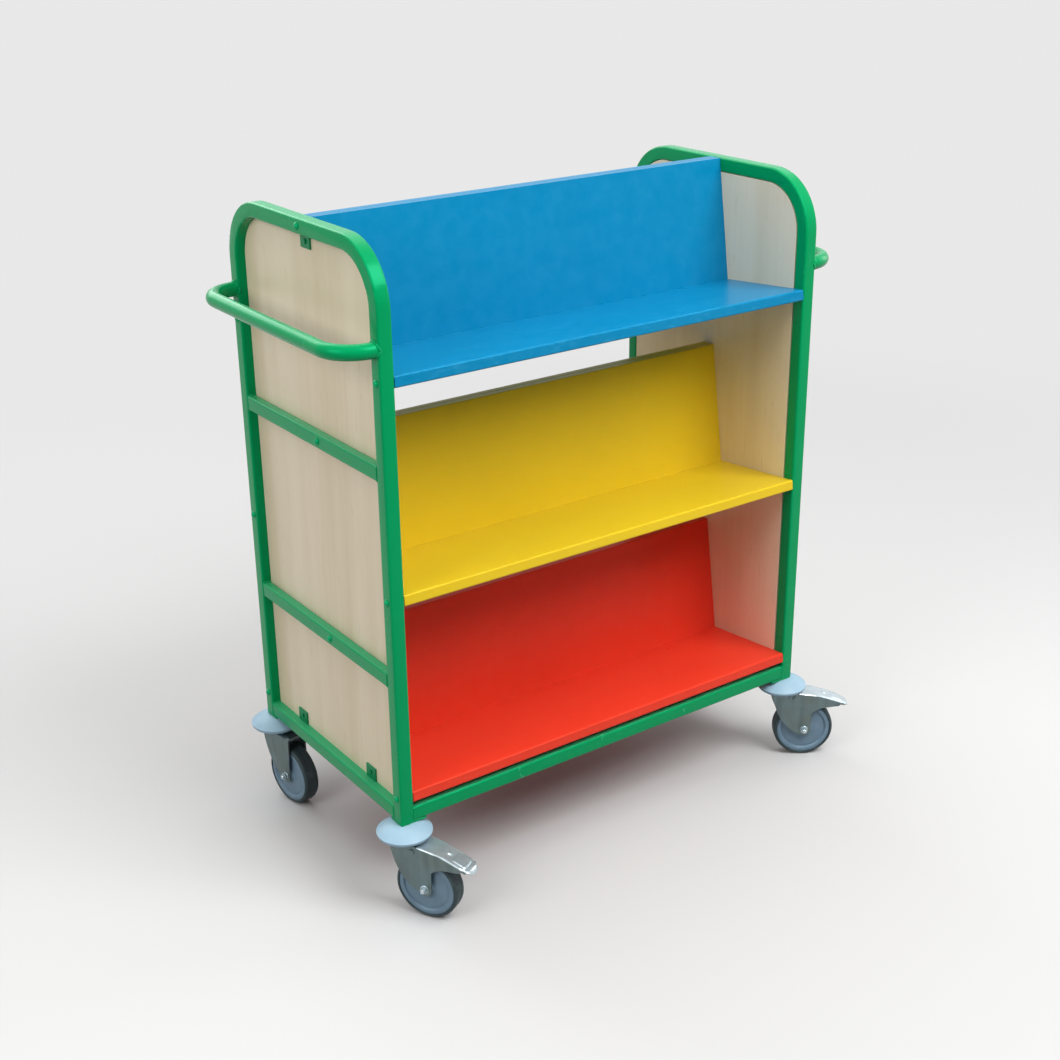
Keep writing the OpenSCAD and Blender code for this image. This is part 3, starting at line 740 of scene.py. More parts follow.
def pressed_steel(name: str, bm: Skin, inside: Vector, thick: float,
                  finishes: Sequence[Finish]) -> Piece:
    """Gives a skin its thickness on the inner side and softens its cut edges.

    Args:
        name: the piece's name.
        bm: the outer skin, with all its faces facing the same way.
        inside: a point behind the skin.
        thick: the steel's thickness, in millimetres.
        finishes: what the faces are finished in, by their material index.

    Returns:
        The piece.
    """
    lean = sum(face.calc_area() * face.normal.dot(face.calc_center_median() - inside) for face in bm.faces)
    if lean < 0.0:
        bmesh.ops.reverse_faces(bm, faces=bm.faces)
    piece = as_object(name, bm, finishes, 80.0)
    add_modifier(piece, "SOLIDIFY", thickness=thick * MM, offset=-1.0, use_quality_normals=True)
    soften(piece, 0.18 * thick * MM, 60.0)
    return piece


def curve_through(points: Sequence[Flat], steps: int) -> list[Flat]:
    """Runs a smooth curve through points.

    Args:
        points: the points, in order.
        steps: segments between two points.

    Returns:
        The finer line.
    """
    ends = [Vector(p) for p in points]
    ends = [2 * ends[0] - ends[1]] + ends + [2 * ends[-1] - ends[-2]]
    out = []
    for i in range(1, len(ends) - 2):
        a, b, c, d = ends[i - 1:i + 3]
        for k in range(steps):
            t = k / steps
            q = 0.5 * (2 * b + (c - a) * t + (2 * a - 5 * b + 4 * c - d) * t * t
                       + (3 * b - a - 3 * c + d) * t ** 3)
            out.append((q.x, q.y))
    out.append((ends[-2].x, ends[-2].y))
    return out


def arc(start: Vector, bend: Vector, end: Vector, steps: int) -> list[Vector]:
    """A curve that leaves the start towards the bend and comes from it to the end."""
    shares = [k / steps for k in range(steps + 1)]
    return [start * (1 - t) ** 2 + bend * (2 * t * (1 - t)) + end * t * t for t in shares]


def on_line(points: Sequence[Flat], at: float) -> float:
    """Reads a line that runs through points.

    Args:
        points: the points, by rising first value.
        at: the first value.

    Returns:
        The second value there, level beyond the ends.
    """
    if at <= points[0][0]:
        return points[0][1]
    for (a, va), (b, vb) in zip(points, points[1:]):
        if at <= b:
            return va + (vb - va) * (at - a) / (b - a)
    return points[-1][1]


def step(start: float, end: float, value: float) -> float:
    """A soft step from 0 at the start to 1 at the end, which may lie below the start."""
    t = min(1.0, max(0.0, (value - start) / (end - start)))
    return t * t * (3.0 - 2.0 * t)


def rounded(corners: Sequence[Point], steps: int = 4) -> list[Flat]:
    """Rounds the corners of a closed outline.

    Args:
        corners: each corner with its radius, 0 for a sharp one.
        steps: segments in a rounded corner.

    Returns:
        The finer outline.
    """
    out: list[Flat] = []
    spots = [Vector(corner[:2]) for corner in corners]
    for i, (p, corner) in enumerate(zip(spots, corners)):
        if corner[2] <= 0.0:
            out.append((p.x, p.y))
            continue
        to_a, to_b = spots[i - 1] - p, spots[(i + 1) % len(spots)] - p
        u, v = to_a.normalized(), to_b.normalized()
        reach = min(corner[2] / math.tan(u.angle(v) / 2.0), 0.49 * to_a.length, 0.49 * to_b.length)
        out += [(q.x, q.y) for q in arc(p + u * reach, p, p + v * reach, steps)]
    return out


def mirrored(half: Sequence[Point]) -> list[Point]:
    """Corners of radius, height and rounding, followed by their mirror image below."""
    return list(half) + [(r, -h, bend) for r, h, bend in reversed(half)]


def lathe(bm: Skin, profile: Sequence[Flat], place: Matrix, sides: int) -> None:
    """Turns a closed profile about the local Z axis.

    Args:
        bm: the mesh to add to.
        profile: radius and height in millimetres, in order round the section.
        place: where the axis stands.
        sides: how many flats the circle has.
    """
    rings = []
    for k in range(sides):
        c, s = math.cos(2.0 * math.pi * k / sides), math.sin(2.0 * math.pi * k / sides)
        rings.append([bm.verts.new(place @ Vector((r * MM * c, r * MM * s, h * MM))) for r, h in profile])
    for here, after in zip(rings, rings[1:] + rings[:1]):
        for i in range(len(profile)):
            j = (i + 1) % len(profile)
            if profile[i][0] > 0.0 or profile[j][0] > 0.0:
                bm.faces.new((here[i], after[i], after[j], here[j]))
    bmesh.ops.remove_doubles(bm, verts=bm.verts, dist=SAME_CORNER / 20)
    bmesh.ops.recalc_face_normals(bm, faces=bm.faces)


# Repeated pieces


class Scatter(Wiring):
    """A geometry-node tree with named inputs, run once and kept as plain mesh."""

    def __init__(self, name: str) -> None:
        """Starts a tree.

        Args:
            name: the tree's name.
        """
        super().__init__(bpy.data.node_groups.new(name, "GeometryNodeTree"))
        for way in ("INPUT", "OUTPUT"):
            self.tree.interface.new_socket("Geometry", in_out=way, socket_type="NodeSocketGeometry")
        self.entry = self.node("NodeGroupInput")
        self.values: dict[str, Any] = {}

    def size(self, name: str, kind: str, value: Any) -> Socket:
        """Adds a named input.

        Args:
            name: what the input sets.
            kind: its socket type.
            value: its value for this run.

        Returns:
            The input's socket inside the tree.
        """
        made = self.tree.interface.new_socket(name, in_out="INPUT", socket_type=kind)
        self.values[made.identifier] = value
        return self.entry.outputs[name]

    def run(self, name: str, base: bpy.types.Mesh, result: Socket, finish: Finish) -> Piece:
        """Realizes the tree's result on a base mesh.

        Args:
            name: the piece's name.
            base: the mesh that the tree works on.
            result: the geometry that comes out.
            finish: what the piece is finished in.

        Returns:
            A plain mesh object.
        """
        real = self.node("GeometryNodeRealizeInstances", None, result)
        paint = self.node("GeometryNodeSetMaterial", None, real.outputs[0], Material=finish.material())
        self.node("NodeGroupOutput", None, paint.outputs[0])
        piece = in_scene(name, base)
        modifier = add_modifier(piece, "NODES", node_group=self.tree)
        for identifier, value in self.values.items():
            modifier[identifier] = value
        settle(piece)
        return piece


@dataclass
class WeldBeads:
    """Weld beads laid along the joints of the steel tubes."""

    pitch: float = 0.0016
    width: float = 0.0022
    seed: int = 7
    least: float = 0.8
    most: float = 1.12

    def lay(self, name: str, runs: Sequence[Sequence[Point]]) -> Piece:
        """Lays one bead along each run of points.

        Args:
            name: the piece's name.
            runs: the paths, in the trolley's frame.

        Returns:
            The beads as one piece.
        """
        points: list[Point] = []
        edges: list[tuple[int, int]] = []
        for run in runs:
            edges.extend((i, i + 1) for i in range(len(points), len(points) + len(run) - 1))
            points.extend(run)
        paths = bpy.data.meshes.new(f"{name}_paths")
        paths.from_pydata(points, edges, [])
        scatter = Scatter("weld bead")
        pitch = scatter.size("Pitch", "NodeSocketFloat", self.pitch)
        width = scatter.size("Bead Radius", "NodeSocketFloat", self.width)
        seed = scatter.size("Seed", "NodeSocketInt", self.seed)
        curve = scatter.node("GeometryNodeMeshToCurve", None, scatter.entry.outputs[0])
        spaced = scatter.node("GeometryNodeResampleCurve", {"mode": "LENGTH"}, curve.outputs[0], Length=pitch)
        blob = scatter.node("GeometryNodeMeshIcoSphere", None, Radius=width, Subdivisions=2)
        size = scatter.node("FunctionNodeRandomValue", {"data_type": "FLOAT"}, None, None, self.least,
                            self.most, Seed=seed)
        placed = scatter.node("GeometryNodeInstanceOnPoints", None, spaced.outputs[0],
                              Instance=blob.outputs[0], Scale=size.outputs[1])
        made = scatter.run(name, paths, placed.outputs[0], Finish.FRAME)
        for polygon in made.data.polygons:
            polygon.use_smooth = True
        return made


# The trolley's sub-assemblies


@dataclass
class EndFrames:
    """The two tube end frames with their rails, handles, foot plates, tabs and welds."""

    half_x: float = 0.440
    half_y: float = 0.241
    tube: float = 0.025
    tube_round: float = 0.0035
    deck: float = 0.170
    plate_edge: float = 0.0005
    screw_edge: float = 0.0006
    bolt_edge: float = 0.0003
    dome: float = 50.0
    rail_depth: float = 0.017
    rail_zs: Flat = (0.778, 0.427)
    rail_end: float = 0.001
    handle_z: float = 0.975
    handle_r: float = 0.0125
    # where a weld's middle lies from a tube's faces, and how far its ends stay from the corners
    gap: float = 0.0002
    sunk: float = 0.0008
    proud: float = 0.0004
    inset: float = 0.003
    lump_pitch: float = 0.0022
    lump_sunk: float = 0.0006
    lump_proud: float = 0.0014
    lump_inset: float = 0.004

    def build(self) -> None:
        """Dresses the frame's tubes and fixings and lays the welds."""
        tubes = [f"{end}_{part}" for end in ("left", "right")
                 for part in ("hoop", "handle", "upper_rail", "lower_rail", "bottom_rail")]
        for node in tubes + ["front_bottom_rail", "rear_bottom_rail"]:
            dress_node(node, BODY, Finish.FRAME, 0.0)
        dress_node("foot_plates", BODY, Finish.FRAME, self.plate_edge)
        # the tabs and their screws take the darker tab paint: painted shade
        dress_node("panel_tabs", BODY, Finish.TAB, self.plate_edge)
        dress_node("tab_screws", BODY, Finish.TAB, self.screw_edge)
        # the dome heads take the lighter bolt paint: painted highlight
        dress_node("shelf_bolts", BODY, Finish.BOLT, self.bolt_edge, self.dome)
        dress_node("rail_bolts", BODY, Finish.BOLT, self.bolt_edge, self.dome)
        sides = [(sx, sy) for sx in (-1, 1) for sy in (-1, 1)]
        straight = self._rail_runs() + self._foot_runs()
        runs: list[list[Point]] = []
        for sx, sy in sides:
            runs.append(self._handle_ring(sx, sy))
            runs += [[(sx * x, sy * y, z) for x, y, z in run] for run in straight]
        piece_done(WeldBeads().lay("weld_beads", runs), BODY, Finish.FRAME)
        lumps = [self._lump(sx, sy, z) for sx, sy in sides for z in (self.handle_z, *self.rail_zs)]
        thick = WeldBeads(pitch=0.0018, width=0.0033, seed=11)
        # the weld lumps take the lighter bolt paint: painted highlight
        piece_done(thick.lay("weld_lumps", lumps), BODY, Finish.BOLT)

    def _handle_ring(self, sx: int, sy: int) -> list[Point]:
        """The weld round a handle's end, which dips where the post's corner is round.

        Args:
            sx: the end frame's side.
            sy: the post's side.

        Returns:
            A closed path.
        """
        steps = 32
        reach = self.handle_r + self.gap
        ring = []
        for k in range(steps + 1):
            a = 2 * math.pi * k / steps
            over = max(0.0, abs(math.cos(a)) * reach - (self.tube / 2 - self.tube_round))
            back = self.tube_round - math.sqrt(self.tube_round ** 2 - min(over, self.tube_round) ** 2)
            ring.append((sx * (self.half_x - back + self.proud),
                         sy * (self.half_y - self.tube / 2) + reach * math.cos(a),
                         self.handle_z + reach * math.sin(a)))
        return ring

    def _rail_runs(self) -> list[list[Point]]:
        """The welds of the cross rails.

        Returns:
            The paths at the post where X and Y are positive.
        """
        runs: list[list[Point]] = []
        x = self.half_x - self.sunk
        y = self.half_y - self.tube - self.gap
        half = self.tube / 2 - self.inset
        edge = self.tube / 2 - self.gap
        x_from, x_to = self.half_x - self.inset, self.half_x - self.rail_depth + self.rail_end
        for z in self.rail_zs:
            runs.append([(x, y, z - half), (x, y, z + half)])
            for level in (z - edge, z + edge):
                runs.append([(x_from, y, level), (x_to, y, level)])
        return runs

    def _foot_runs(self) -> list[list[Point]]:
        """The welds of the bottom rails.

        Returns:
            The paths at the post where X and Y are positive.
        """
        low, high, top = self.deck + self.inset, self.deck + self.tube - self.inset, self.deck + self.tube
        x, y = self.half_x - self.sunk, self.half_y - self.sunk
        inner_x, inner_y = self.half_x - self.tube, self.half_y - self.tube
        return [[(x, inner_y, low), (x, inner_y, high)],
                [(self.half_x - self.inset, inner_y, top), (self.half_x - self.rail_depth, inner_y, top)],
                [(inner_x, y, low), (inner_x, y, high)],
                [(inner_x, self.half_y - self.inset, top), (inner_x, inner_y + self.inset, top)]]

    def _lump(self, sx: int, sy: int, z: float) -> list[Point]:
        """The thick end of a weld, on top of a handle's or a cross rail's end.

        Args:
            sx: the end frame's side.
            sy: the post's side.
            z: the height of the tube's middle.

        Returns:
            A short path.
        """
        top = z + self.handle_r - self.lump_sunk
        if z == self.handle_z:
            y = sy * (self.half_y - self.tube / 2)
            return [(sx * (self.half_x + self.lump_proud), y + i * self.lump_pitch, top) for i in (-1, 0, 1)]
        y = sy * (self.half_y - self.tube - self.lump_sunk)
        return [(sx * (self.half_x - self.lump_inset * share), y, top) for share in (1.0, 1.5, 2.0)]


class Tier(Enum):
    """The three tiers and their colours."""

    TOP = ("top", Finish.BLUE)
    MIDDLE = ("middle", Finish.YELLOW)
    BOTTOM = ("bottom", Finish.RED)


@dataclass
class Boards:
    """The two birch end panels and the six sloping shelves with their back boards."""

    edge: float = 0.0008

    def build(self) -> None:
        """Dresses the panels, then every board in its tier's colour."""
        for end in ("left", "right"):
            dress_node(f"{end}_panel", BODY, Finish.PANEL, self.edge)
        for tier in Tier:
            name, finish = tier.value
            for side in ("front", "rear"):
                for part in ("shelf", "back"):
                    dress_node(f"{name}_{side}_{part}", BODY, finish, self.edge)


@dataclass(frozen=True)
class CasterShape:
    """The sizes of one swivel caster, in millimetres, in its own frame: X along the trail, Z up."""

    stem_x: float = 427.5
    stem_y: float = 228.5
    trail: float = 45.0
    axle_z: float = 57.5
    fork_top: float = 139.7
    fork_half: float = 20.0
    fork_steel: float = 2.5
    shoulder: float = 6.0
    tail: float = 20.0
    nose: float = 60.0
    leg_r: float = 13.0
    # where the legs' edges meet the round foot, in shares of its radius: back and down, and down
    rear_foot: Flat = (0.7, 0.72)
    front_foot: float = 0.24
    # where the rear edge starts and bends, in shares of the tail and of the height above the axle
    rear_start: Flat = (-0.85, 0.78)
    rear_bend: Flat = (-0.1, 0.07)
    # where the front edge starts to lean out and where it reaches the nose, in shares of that height
    front_lean: Flat = (0.41, 0.56)
    # height and reach of a front edge that is cut back under a pedal
    cut_back: tuple[Flat, ...] = ((123.1, 61.7), (129.3, 44.9), (133.4, 33.8), (134.0, 30.0))
    rib: float = 0.9
    washer_r: float = 7.9
    washer_bore: float = 4.2
    washer_thick: float = 1.2
    washer_edge: float = 0.3
    bolt_r: float = 3.9
    bolt_start: float = 4.0
    bolt_end: float = 9.4
    bolt_edge: float = 0.8
    bore_r: float = 4.05
    bumper_z: float = 143.0
    bumper_h: float = 23.0
    bumper_r: float = 47.0
    bumper_bore: float = 13.0
    bumper_flat: float = 22.0
    bumper_low: float = 8.0
    pin_z: float = 126.7
    web_start: float = 32.0
    pedal_half: float = 22.25
    pedal_waist: float = 20.4
    pedal_steel: float = 1.75
    pedal_round: float = 4.0
    flange_end: float = 120.0
    waist_from: float = 60.0
    waist_to: float = 80.0
    boss_x: float = 83.0
    pad_from: float = 94.5
    pad_to: float = 119.5
    pad_half: float = 13.0
    pad_rise: float = 1.3
    pad_edge: float = 2.0
    pad_pitch: float = 4.0
    groove: float = 0.35
    boss_rise: float = 1.8
    boss_r: Flat = (6.0, 1.5)
    neck: float = 112.0
    neck_narrow: float = 2.4
    # where the pedal's tip starts to take the whiter zinc: painted highlight
    tip_highlight_from: float = 118.0
    tip_x: float = 130.0
    tip_drop: float = 29.0
    tip_lip: float = 8.0
    tip_pull: float = 7.0
    tip_fall: float = 0.72
    tip_power: float = 2.6

    @property
    def leg_h(self) -> float:
        """From the axle to the fork's top."""
        return self.fork_top - self.axle_z

    def leg_rear(self, z: float) -> float:
        """The rear edge of a fork leg.

        Args:
            z: the height.

        Returns:
            How far along the trail the edge is.
        """
        low = self.axle_z - self.rear_foot[1] * self.leg_r
        if z <= low:
            return self.trail - math.sqrt(max(0.0, self.leg_r ** 2 - (z - self.axle_z) ** 2))
        start, bend = (Vector((back * self.tail, self.axle_z + up * self.leg_h))
                       for back, up in (self.rear_start, self.rear_bend))
        end = Vector((self.trail - self.rear_foot[0] * self.leg_r, low))
        line = [(q.y, q.x) for q in arc(end, bend, start, 40)]
        return on_line(line + [(self.fork_top, -self.tail)], z)

    def leg_front(self, z: float, braked: bool) -> float:
        """The front edge of a fork leg.

        Args:
            z: the height.
            braked: True for a fork that is cut back under a pedal.

        Returns:
            How far along the trail the edge is.
        """
        if z <= self.axle_z - self.front_foot * self.leg_r:
            return self.trail + math.sqrt(max(0.0, self.leg_r ** 2 - (z - self.axle_z) ** 2))
        wide = self.trail + self.leg_r
        bend, nose = (self.axle_z + share * self.leg_h for share in self.front_lean)
        front = on_line([(bend, wide), (nose, self.nose)], z)
        return min(front, on_line(self.cut_back, z)) if braked else front

    def spine(self) -> list[Flat]:
        """The pedal's upper line.

        Returns:
            Its points, from the rear of the sides to the end of the turned-down lip.
        """
        marks = ((0.0, 0.06), (0.12, 0.12), (0.3, 0.21), (0.47, 0.36), (0.63, 0.55), (0.78, 0.74),
                 (0.9, 0.89))
        web = [(self.web_start + a * (self.tip_x - self.web_start), self.fork_top - b * self.tip_drop)
               for a, b in marks]
        rear = [(u, self.pin_z + rise) for u, rise in ((12.0, 3.5), (14.5, 7.2), (19.0, 9.4), (26.0, 10.6))]
        tip_z = self.fork_top - self.tip_drop
        lip = [(self.tip_x + a, tip_z + b) for a, b in ((-5.4, 1.7), (-2.3, -0.2), (-0.2, -2.9), (0.8, -5.6),
                                                        (0.9, -self.tip_lip))]
        return curve_through(rear + web + lip, 9)

    def flange_low(self, u: float) -> float:
        """The lower edge of the pedal's sides.

        Args:
            u: how far along the trail.

        Returns:
            The edge's height.
        """
        rear = [(12.0, self.pin_z - 3.5), (14.5, self.pin_z - 7.0), (20.0, self.pin_z - 9.0)]
        front = [(45.0, 105.0), (54.0, 97.2), (58.5, 93.0), (61.0, 95.6), (64.5, 98.8), (69.0, 101.2),
                 (78.0, 104.0), (93.7, 105.8), (108.4, 107.2), (120.2, 109.2)]
        return on_line(rear + front, u)


@dataclass
class Caster:
    """One swivel caster under a corner of the trolley, trailing at so many degrees from +X."""

    corner: str
    side_x: int
    side_y: int
    heading: float
    braked: bool
    shape: CasterShape = CasterShape()
    flange_steps: int = 5
    web_steps: int = 38
    disc_sides: int = 112
    tyre_sides: int = 144
    disc_smooth: float = 50.0
    round_smooth: float = 40.0
    pin_edge: float = 0.0005
    shoe_edge: float = 0.0012

    @property
    def place(self) -> Matrix:
        """From the caster's frame to the trolley's."""
        k = self.shape
        return (Matrix.Translation((self.side_x * k.stem_x * MM, self.side_y * k.stem_y * MM, 0.0))
                @ Matrix.Rotation(math.radians(self.heading), 4, "Z"))

    @property
    def axle(self) -> Matrix:
        """From the axle's frame, Z across the wheel, to the trolley's."""
        here = Vector((self.shape.trail, 0.0, self.shape.axle_z)) * MM
        return self.place @ Matrix.Translation(here) @ Matrix.Rotation(math.pi / 2, 4, "X")

    def build(self) -> None:
        """Builds the caster's pieces."""
        swivel, roller = f"{self.corner}_swivel", f"{self.corner}_roller"
        self._turned("wheel", "disc", self._wheel_profile(), self.axle, self.disc_sides, roller,
                     Finish.WHEEL, self.disc_smooth)
        self._turned("tyre", "ring", self._tyre_profile(), self.axle, self.tyre_sides, roller,
                     Finish.TYRE, self.round_smooth)
        self._fork(swivel)
        # the axle's hexagons take the lighter zinc: painted light
        dress_node(f"{self.corner}_axle", swivel, Finish.LIT_ZINC, self.pin_edge)
        self._washers(swivel)
        seat = self.place @ Matrix.Translation((0.0, 0.0, self.shape.bumper_z * MM))
        self._turned("bumper", "dome", self._bumper_profile(), seat, self.disc_sides, BODY,
                     Finish.BUMPER, self.disc_smooth)
        if self.braked:
            self._pedal()
            dress_node(f"{self.corner}_shoe", f"{self.corner}_brake", Finish.TYRE, self.shoe_edge,
                       self.round_smooth)
            dress_node(f"{self.corner}_pedal_pin", swivel, Finish.ZINC, self.pin_edge, self.round_smooth)

    def _turned(self, part: str, form: str, profile: Sequence[Flat], place: Matrix, sides: int, body: str,
                finish: Finish, smooth: float) -> None:
        """Turns the piece that stands for one of the caster's nodes.

        Args:
            part: the node's name after the corner.
            form: what the piece's name ends in.
            profile: radius and height in millimetres.
            place: where the axis stands.
            sides: how many flats the circle has.
            body: the body that it moves with.
            finish: what it is finished in.
            smooth: edges sharper than this many degrees stay sharp.
        """
        node = f"{self.corner}_{part}"
        bm = bmesh.new()
        lathe(bm, profile, place, sides)
        piece_done(as_object(f"{node}_{form}", bm, [finish], smooth), body, finish, node)

    def _wheel_profile(self) -> list[Flat]:
        """The wheel disc: its hub, dished web, groove and raised rim."""
        return rounded(mirrored([
            (self.shape.bore_r, 17.2, 0.4), (12.0, 17.2, 0.8), (12.6, 15.2, 0.8), (14.0, 12.4, 1.2),
            (20.0, 11.3, 1.0), (38.0, 11.3, 0.8), (40.6, 10.6, 0.5), (42.0, 10.6, 0.5), (43.0, 13.0, 0.6),
            (44.4, 14.0, 1.0), (49.6, 14.0, 1.2), (51.5, 13.2, 0.4)]))

    def _tyre_profile(self) -> list[Flat]:
        """The tyre: rounded shoulders, a side bead and a fine parting line."""
        return rounded([(51.55, 0.0, 0.0)] + mirrored([
            (51.55, 14.6, 0.3), (52.4, 15.0, 0.4), (53.2, 14.9, 0.4), (55.6, 13.6, 1.2), (57.0, 11.4, 1.4),
            (57.45, 8.0, 1.0), (57.5, 1.0, 0.0), (57.35, 0.4, 0.0)]))

    def _bumper_profile(self) -> list[Flat]:
        """The bumper: a low dome with a round rim.

        Returns:
            Radius and height, in order round the section.
        """
        k = self.shape
        rise = k.bumper_flat ** 2 + k.bumper_h ** 2 - k.bumper_r ** 2 - k.bumper_low ** 2
        middle = rise / (2 * (k.bumper_h - k.bumper_low))
        ball = math.hypot(k.bumper_r, k.bumper_low - middle)
        rim = [(k.bumper_r - k.bumper_low * (1 - math.sin(a)), k.bumper_low * (1 - math.cos(a)))
               for a in (math.radians(v) for v in (0, 15, 30, 45, 60, 72))]
        rim += [(k.bumper_r - 0.05, k.bumper_low - 0.6), (k.bumper_r - 0.2, k.bumper_low + 0.5)]
        crown = k.bumper_r - 1.2
        radii = [crown + (k.bumper_flat - crown) * i / 8 for i in range(9)]
        dome = [(r, math.sqrt(ball ** 2 - r * r) + middle) for r in radii]
        return [(k.bumper_bore, 0.0)] + rim + dome + [(k.bumper_bore, k.bumper_h)]

    def _washers(self, body: str) -> None:
        """Adds a washer under each of the axle's hexagons and the bolt's chamfered end.

        Args:
            body: the body that they move with.
        """
        k = self.shape
        bm = bmesh.new()
        ring = [(k.washer_bore, 0.0), (k.washer_r, 0.0), (k.washer_r, k.washer_thick - k.washer_edge),
                (k.washer_r - k.washer_edge, k.washer_thick), (k.washer_bore, k.washer_thick)]
        for side in (-1, 1):
            lathe(bm, [(r, side * (k.fork_half + h)) for r, h in ring], self.axle, 48)
        stub = [(0.0, k.bolt_start), (k.bolt_r, k.bolt_start), (k.bolt_r, k.bolt_end - k.bolt_edge),
                (k.bolt_r - k.bolt_edge, k.bolt_end), (0.0, k.bolt_end)]
        lathe(bm, [(r, k.fork_half + h) for r, h in stub], self.axle, 32)
        # the washers and the bolt end take the whiter zinc: painted highlight
        piece = as_object(f"{self.corner}_axle_washers", bm, [Finish.HIGHLIGHT_ZINC], 30.0)
        piece_done(piece, body, Finish.HIGHLIGHT_ZINC)

    def _fork_section(self) -> list[Flat]:
        """The fork seen along its trail.

        Returns:
            Points across and up, from one leg's lower end over the top to the other's.
        """
        k = self.shape
        shoulder_z = k.fork_top - k.shoulder
        flat = k.fork_half - k.shoulder
        steps = 30
        leg = [k.axle_z - k.leg_r * math.cos(math.radians(a)) for a in (4, 14, 26, 38, 50, 62, 76)]
        leg += [k.axle_z + (shoulder_z - k.axle_z) * i / steps for i in range(steps + 1)]
        section = [(-k.fork_half, z) for z in leg]
        section += [(-k.fork_half + k.shoulder * (1 - math.cos(a)), shoulder_z + k.shoulder * math.sin(a))
                    for a in (math.radians(v) for v in (15, 30, 45, 60, 75, 90))]
        section += [(flat * v, k.fork_top) for v in (-0.7, -0.35, 0.0)]
        return section + [(-v, z) for v, z in reversed(section[:-1])]

    def _fork(self, body: str) -> None:
        """Presses the fork: two legs with a raised rib, round shoulders and the top.

        Args:
            body: the body that it moves with.
        """
        k = self.shape
        steps = 32
        rows = []
        for v, z in self._fork_section():
            rear = k.leg_rear(z)
            front = max(rear + 0.05, k.leg_front(z, self.braked))
            fade = step(k.axle_z + 4, k.axle_z + 20, z) * step(k.fork_top - 5, k.fork_top - 22, z)
            on_leg = abs(v) >= k.fork_half - 0.01
            row = []
            for t in (i / steps for i in range(steps + 1)):
                rib = k.rib * fade * step(0.2, 0.36, t) * step(0.8, 0.64, t)
                row.append((rear + (front - rear) * t, v + (math.copysign(rib, v) if on_leg else 0.0), z))
            rows.append(row)
        inside = self.place @ (Vector((k.tail, 0.0, k.axle_z + k.leg_h / 2)) * MM)
        node = f"{self.corner}_fork"
        piece = pressed_steel(f"{node}_steel", sheet(rows, self.place), inside, k.fork_steel, [Finish.ZINC])
        piece_done(piece, body, Finish.ZINC, node)

    def _tread(self, u: float, v: float) -> float:
        """The pedal's grooved pad and round boss.

        Args:
            u: the place along the trail.
            v: the place across it.

        Returns:
            How far the pedal's upper face stands out there.
        """
        k = self.shape
        start, end, half, edge = k.pad_from, k.pad_to, k.pad_half, k.pad_edge
        rise = k.pad_rise * step(start, start + edge, u) * step(end, end - edge, u)
        rise *= step(half, half - edge, abs(v))
        level = edge + 0.5
        if start + edge + 1.0 < u < end - level and abs(v) < half - level:
            rise -= k.groove * step(0.3, 1.0, math.cos((u - start - level) * 2 * math.pi / k.pad_pitch))
        return rise + k.boss_rise * step(*k.boss_r, math.hypot(u - k.boss_x, v))

    def _pedal_row(self, line: Sequence[Flat], i: int) -> list[Point]:
        """One cross-section of the pedal: a side, a round corner, the web, and the same again.

        Args:
            line: the pedal's upper line.
            i: the point of the line that the section stands on.

        Returns:
            The section's points, all sections having as many.
        """
        k = self.shape
        u, z = line[i]
        before, after = line[max(0, i - 1)], line[min(len(line) - 1, i + 1)]
        run = Vector((after[0] - before[0], after[1] - before[1])).normalized()
        lean = step(k.neck, k.neck + 12.0, u)
        up = Vector((-run.y * lean, run.x * lean + (1.0 - lean))).normalized()
        webbed = u >= k.web_start
        bend = k.pedal_round if webbed else 0.0
        half = k.pedal_half + (k.pedal_waist - k.pedal_half) * step(k.waist_from, k.waist_to, u)
        half -= k.neck_narrow * step(k.neck, k.tip_x, u)
        tip_z = k.fork_top - k.tip_drop
        past = z < tip_z + 3.2 and u > k.neck
        deep = max(bend + 0.4, z - k.flange_low(min(u, k.flange_end)))
        deep += (bend - deep) * (1.0 if past else step(k.neck + 1.0, k.flange_end + 2.0, u))
        side = [(-half, -deep + (deep - bend) * j / self.flange_steps) for j in range(self.flange_steps + 1)]
        side += [(-half + bend * (1 - math.cos(a)), -bend * (1 - math.sin(a)))
                 for a in (math.radians(v) for v in (18, 36, 54, 72, 90))]
        web = [(2 * (half - bend) * (j / self.web_steps - 0.5), 0.0) for j in range(1, self.web_steps)]
        pull = k.tip_pull * step(k.neck - 4.0, k.tip_x - 2.0, u)
        drop = k.tip_fall * max(0.0, tip_z + 2.0 - z) if past else 0.0
        row = []
        for v, n in side + web + [(-v, n) for v, n in reversed(side)]:
            out = (abs(v) / half) ** k.tip_power
            lift = n + (self._tread(u, v) if webbed and abs(v) < half - bend else 0.0)
            row.append((u + up.x * lift - pull * out, v, z + up.y * lift + drop * out))
        return row

    def _pedal(self) -> None:
        """Presses the brake pedal: a web with a tread pad, two sides and a turned-down lip."""
        k = self.shape
        line = k.spine()
        rows = [self._pedal_row(line, i) for i in range(len(line))]
        columns = len(rows[0]) - 1

        def there(i: int, j: int) -> bool:
            """Behind the web only the two sides are there."""
            return line[i][0] >= k.web_start or j < self.flange_steps or j >= columns - self.flange_steps

        bm = sheet(rows, self.place, there)
        level = self.place.to_3x3().inverted()
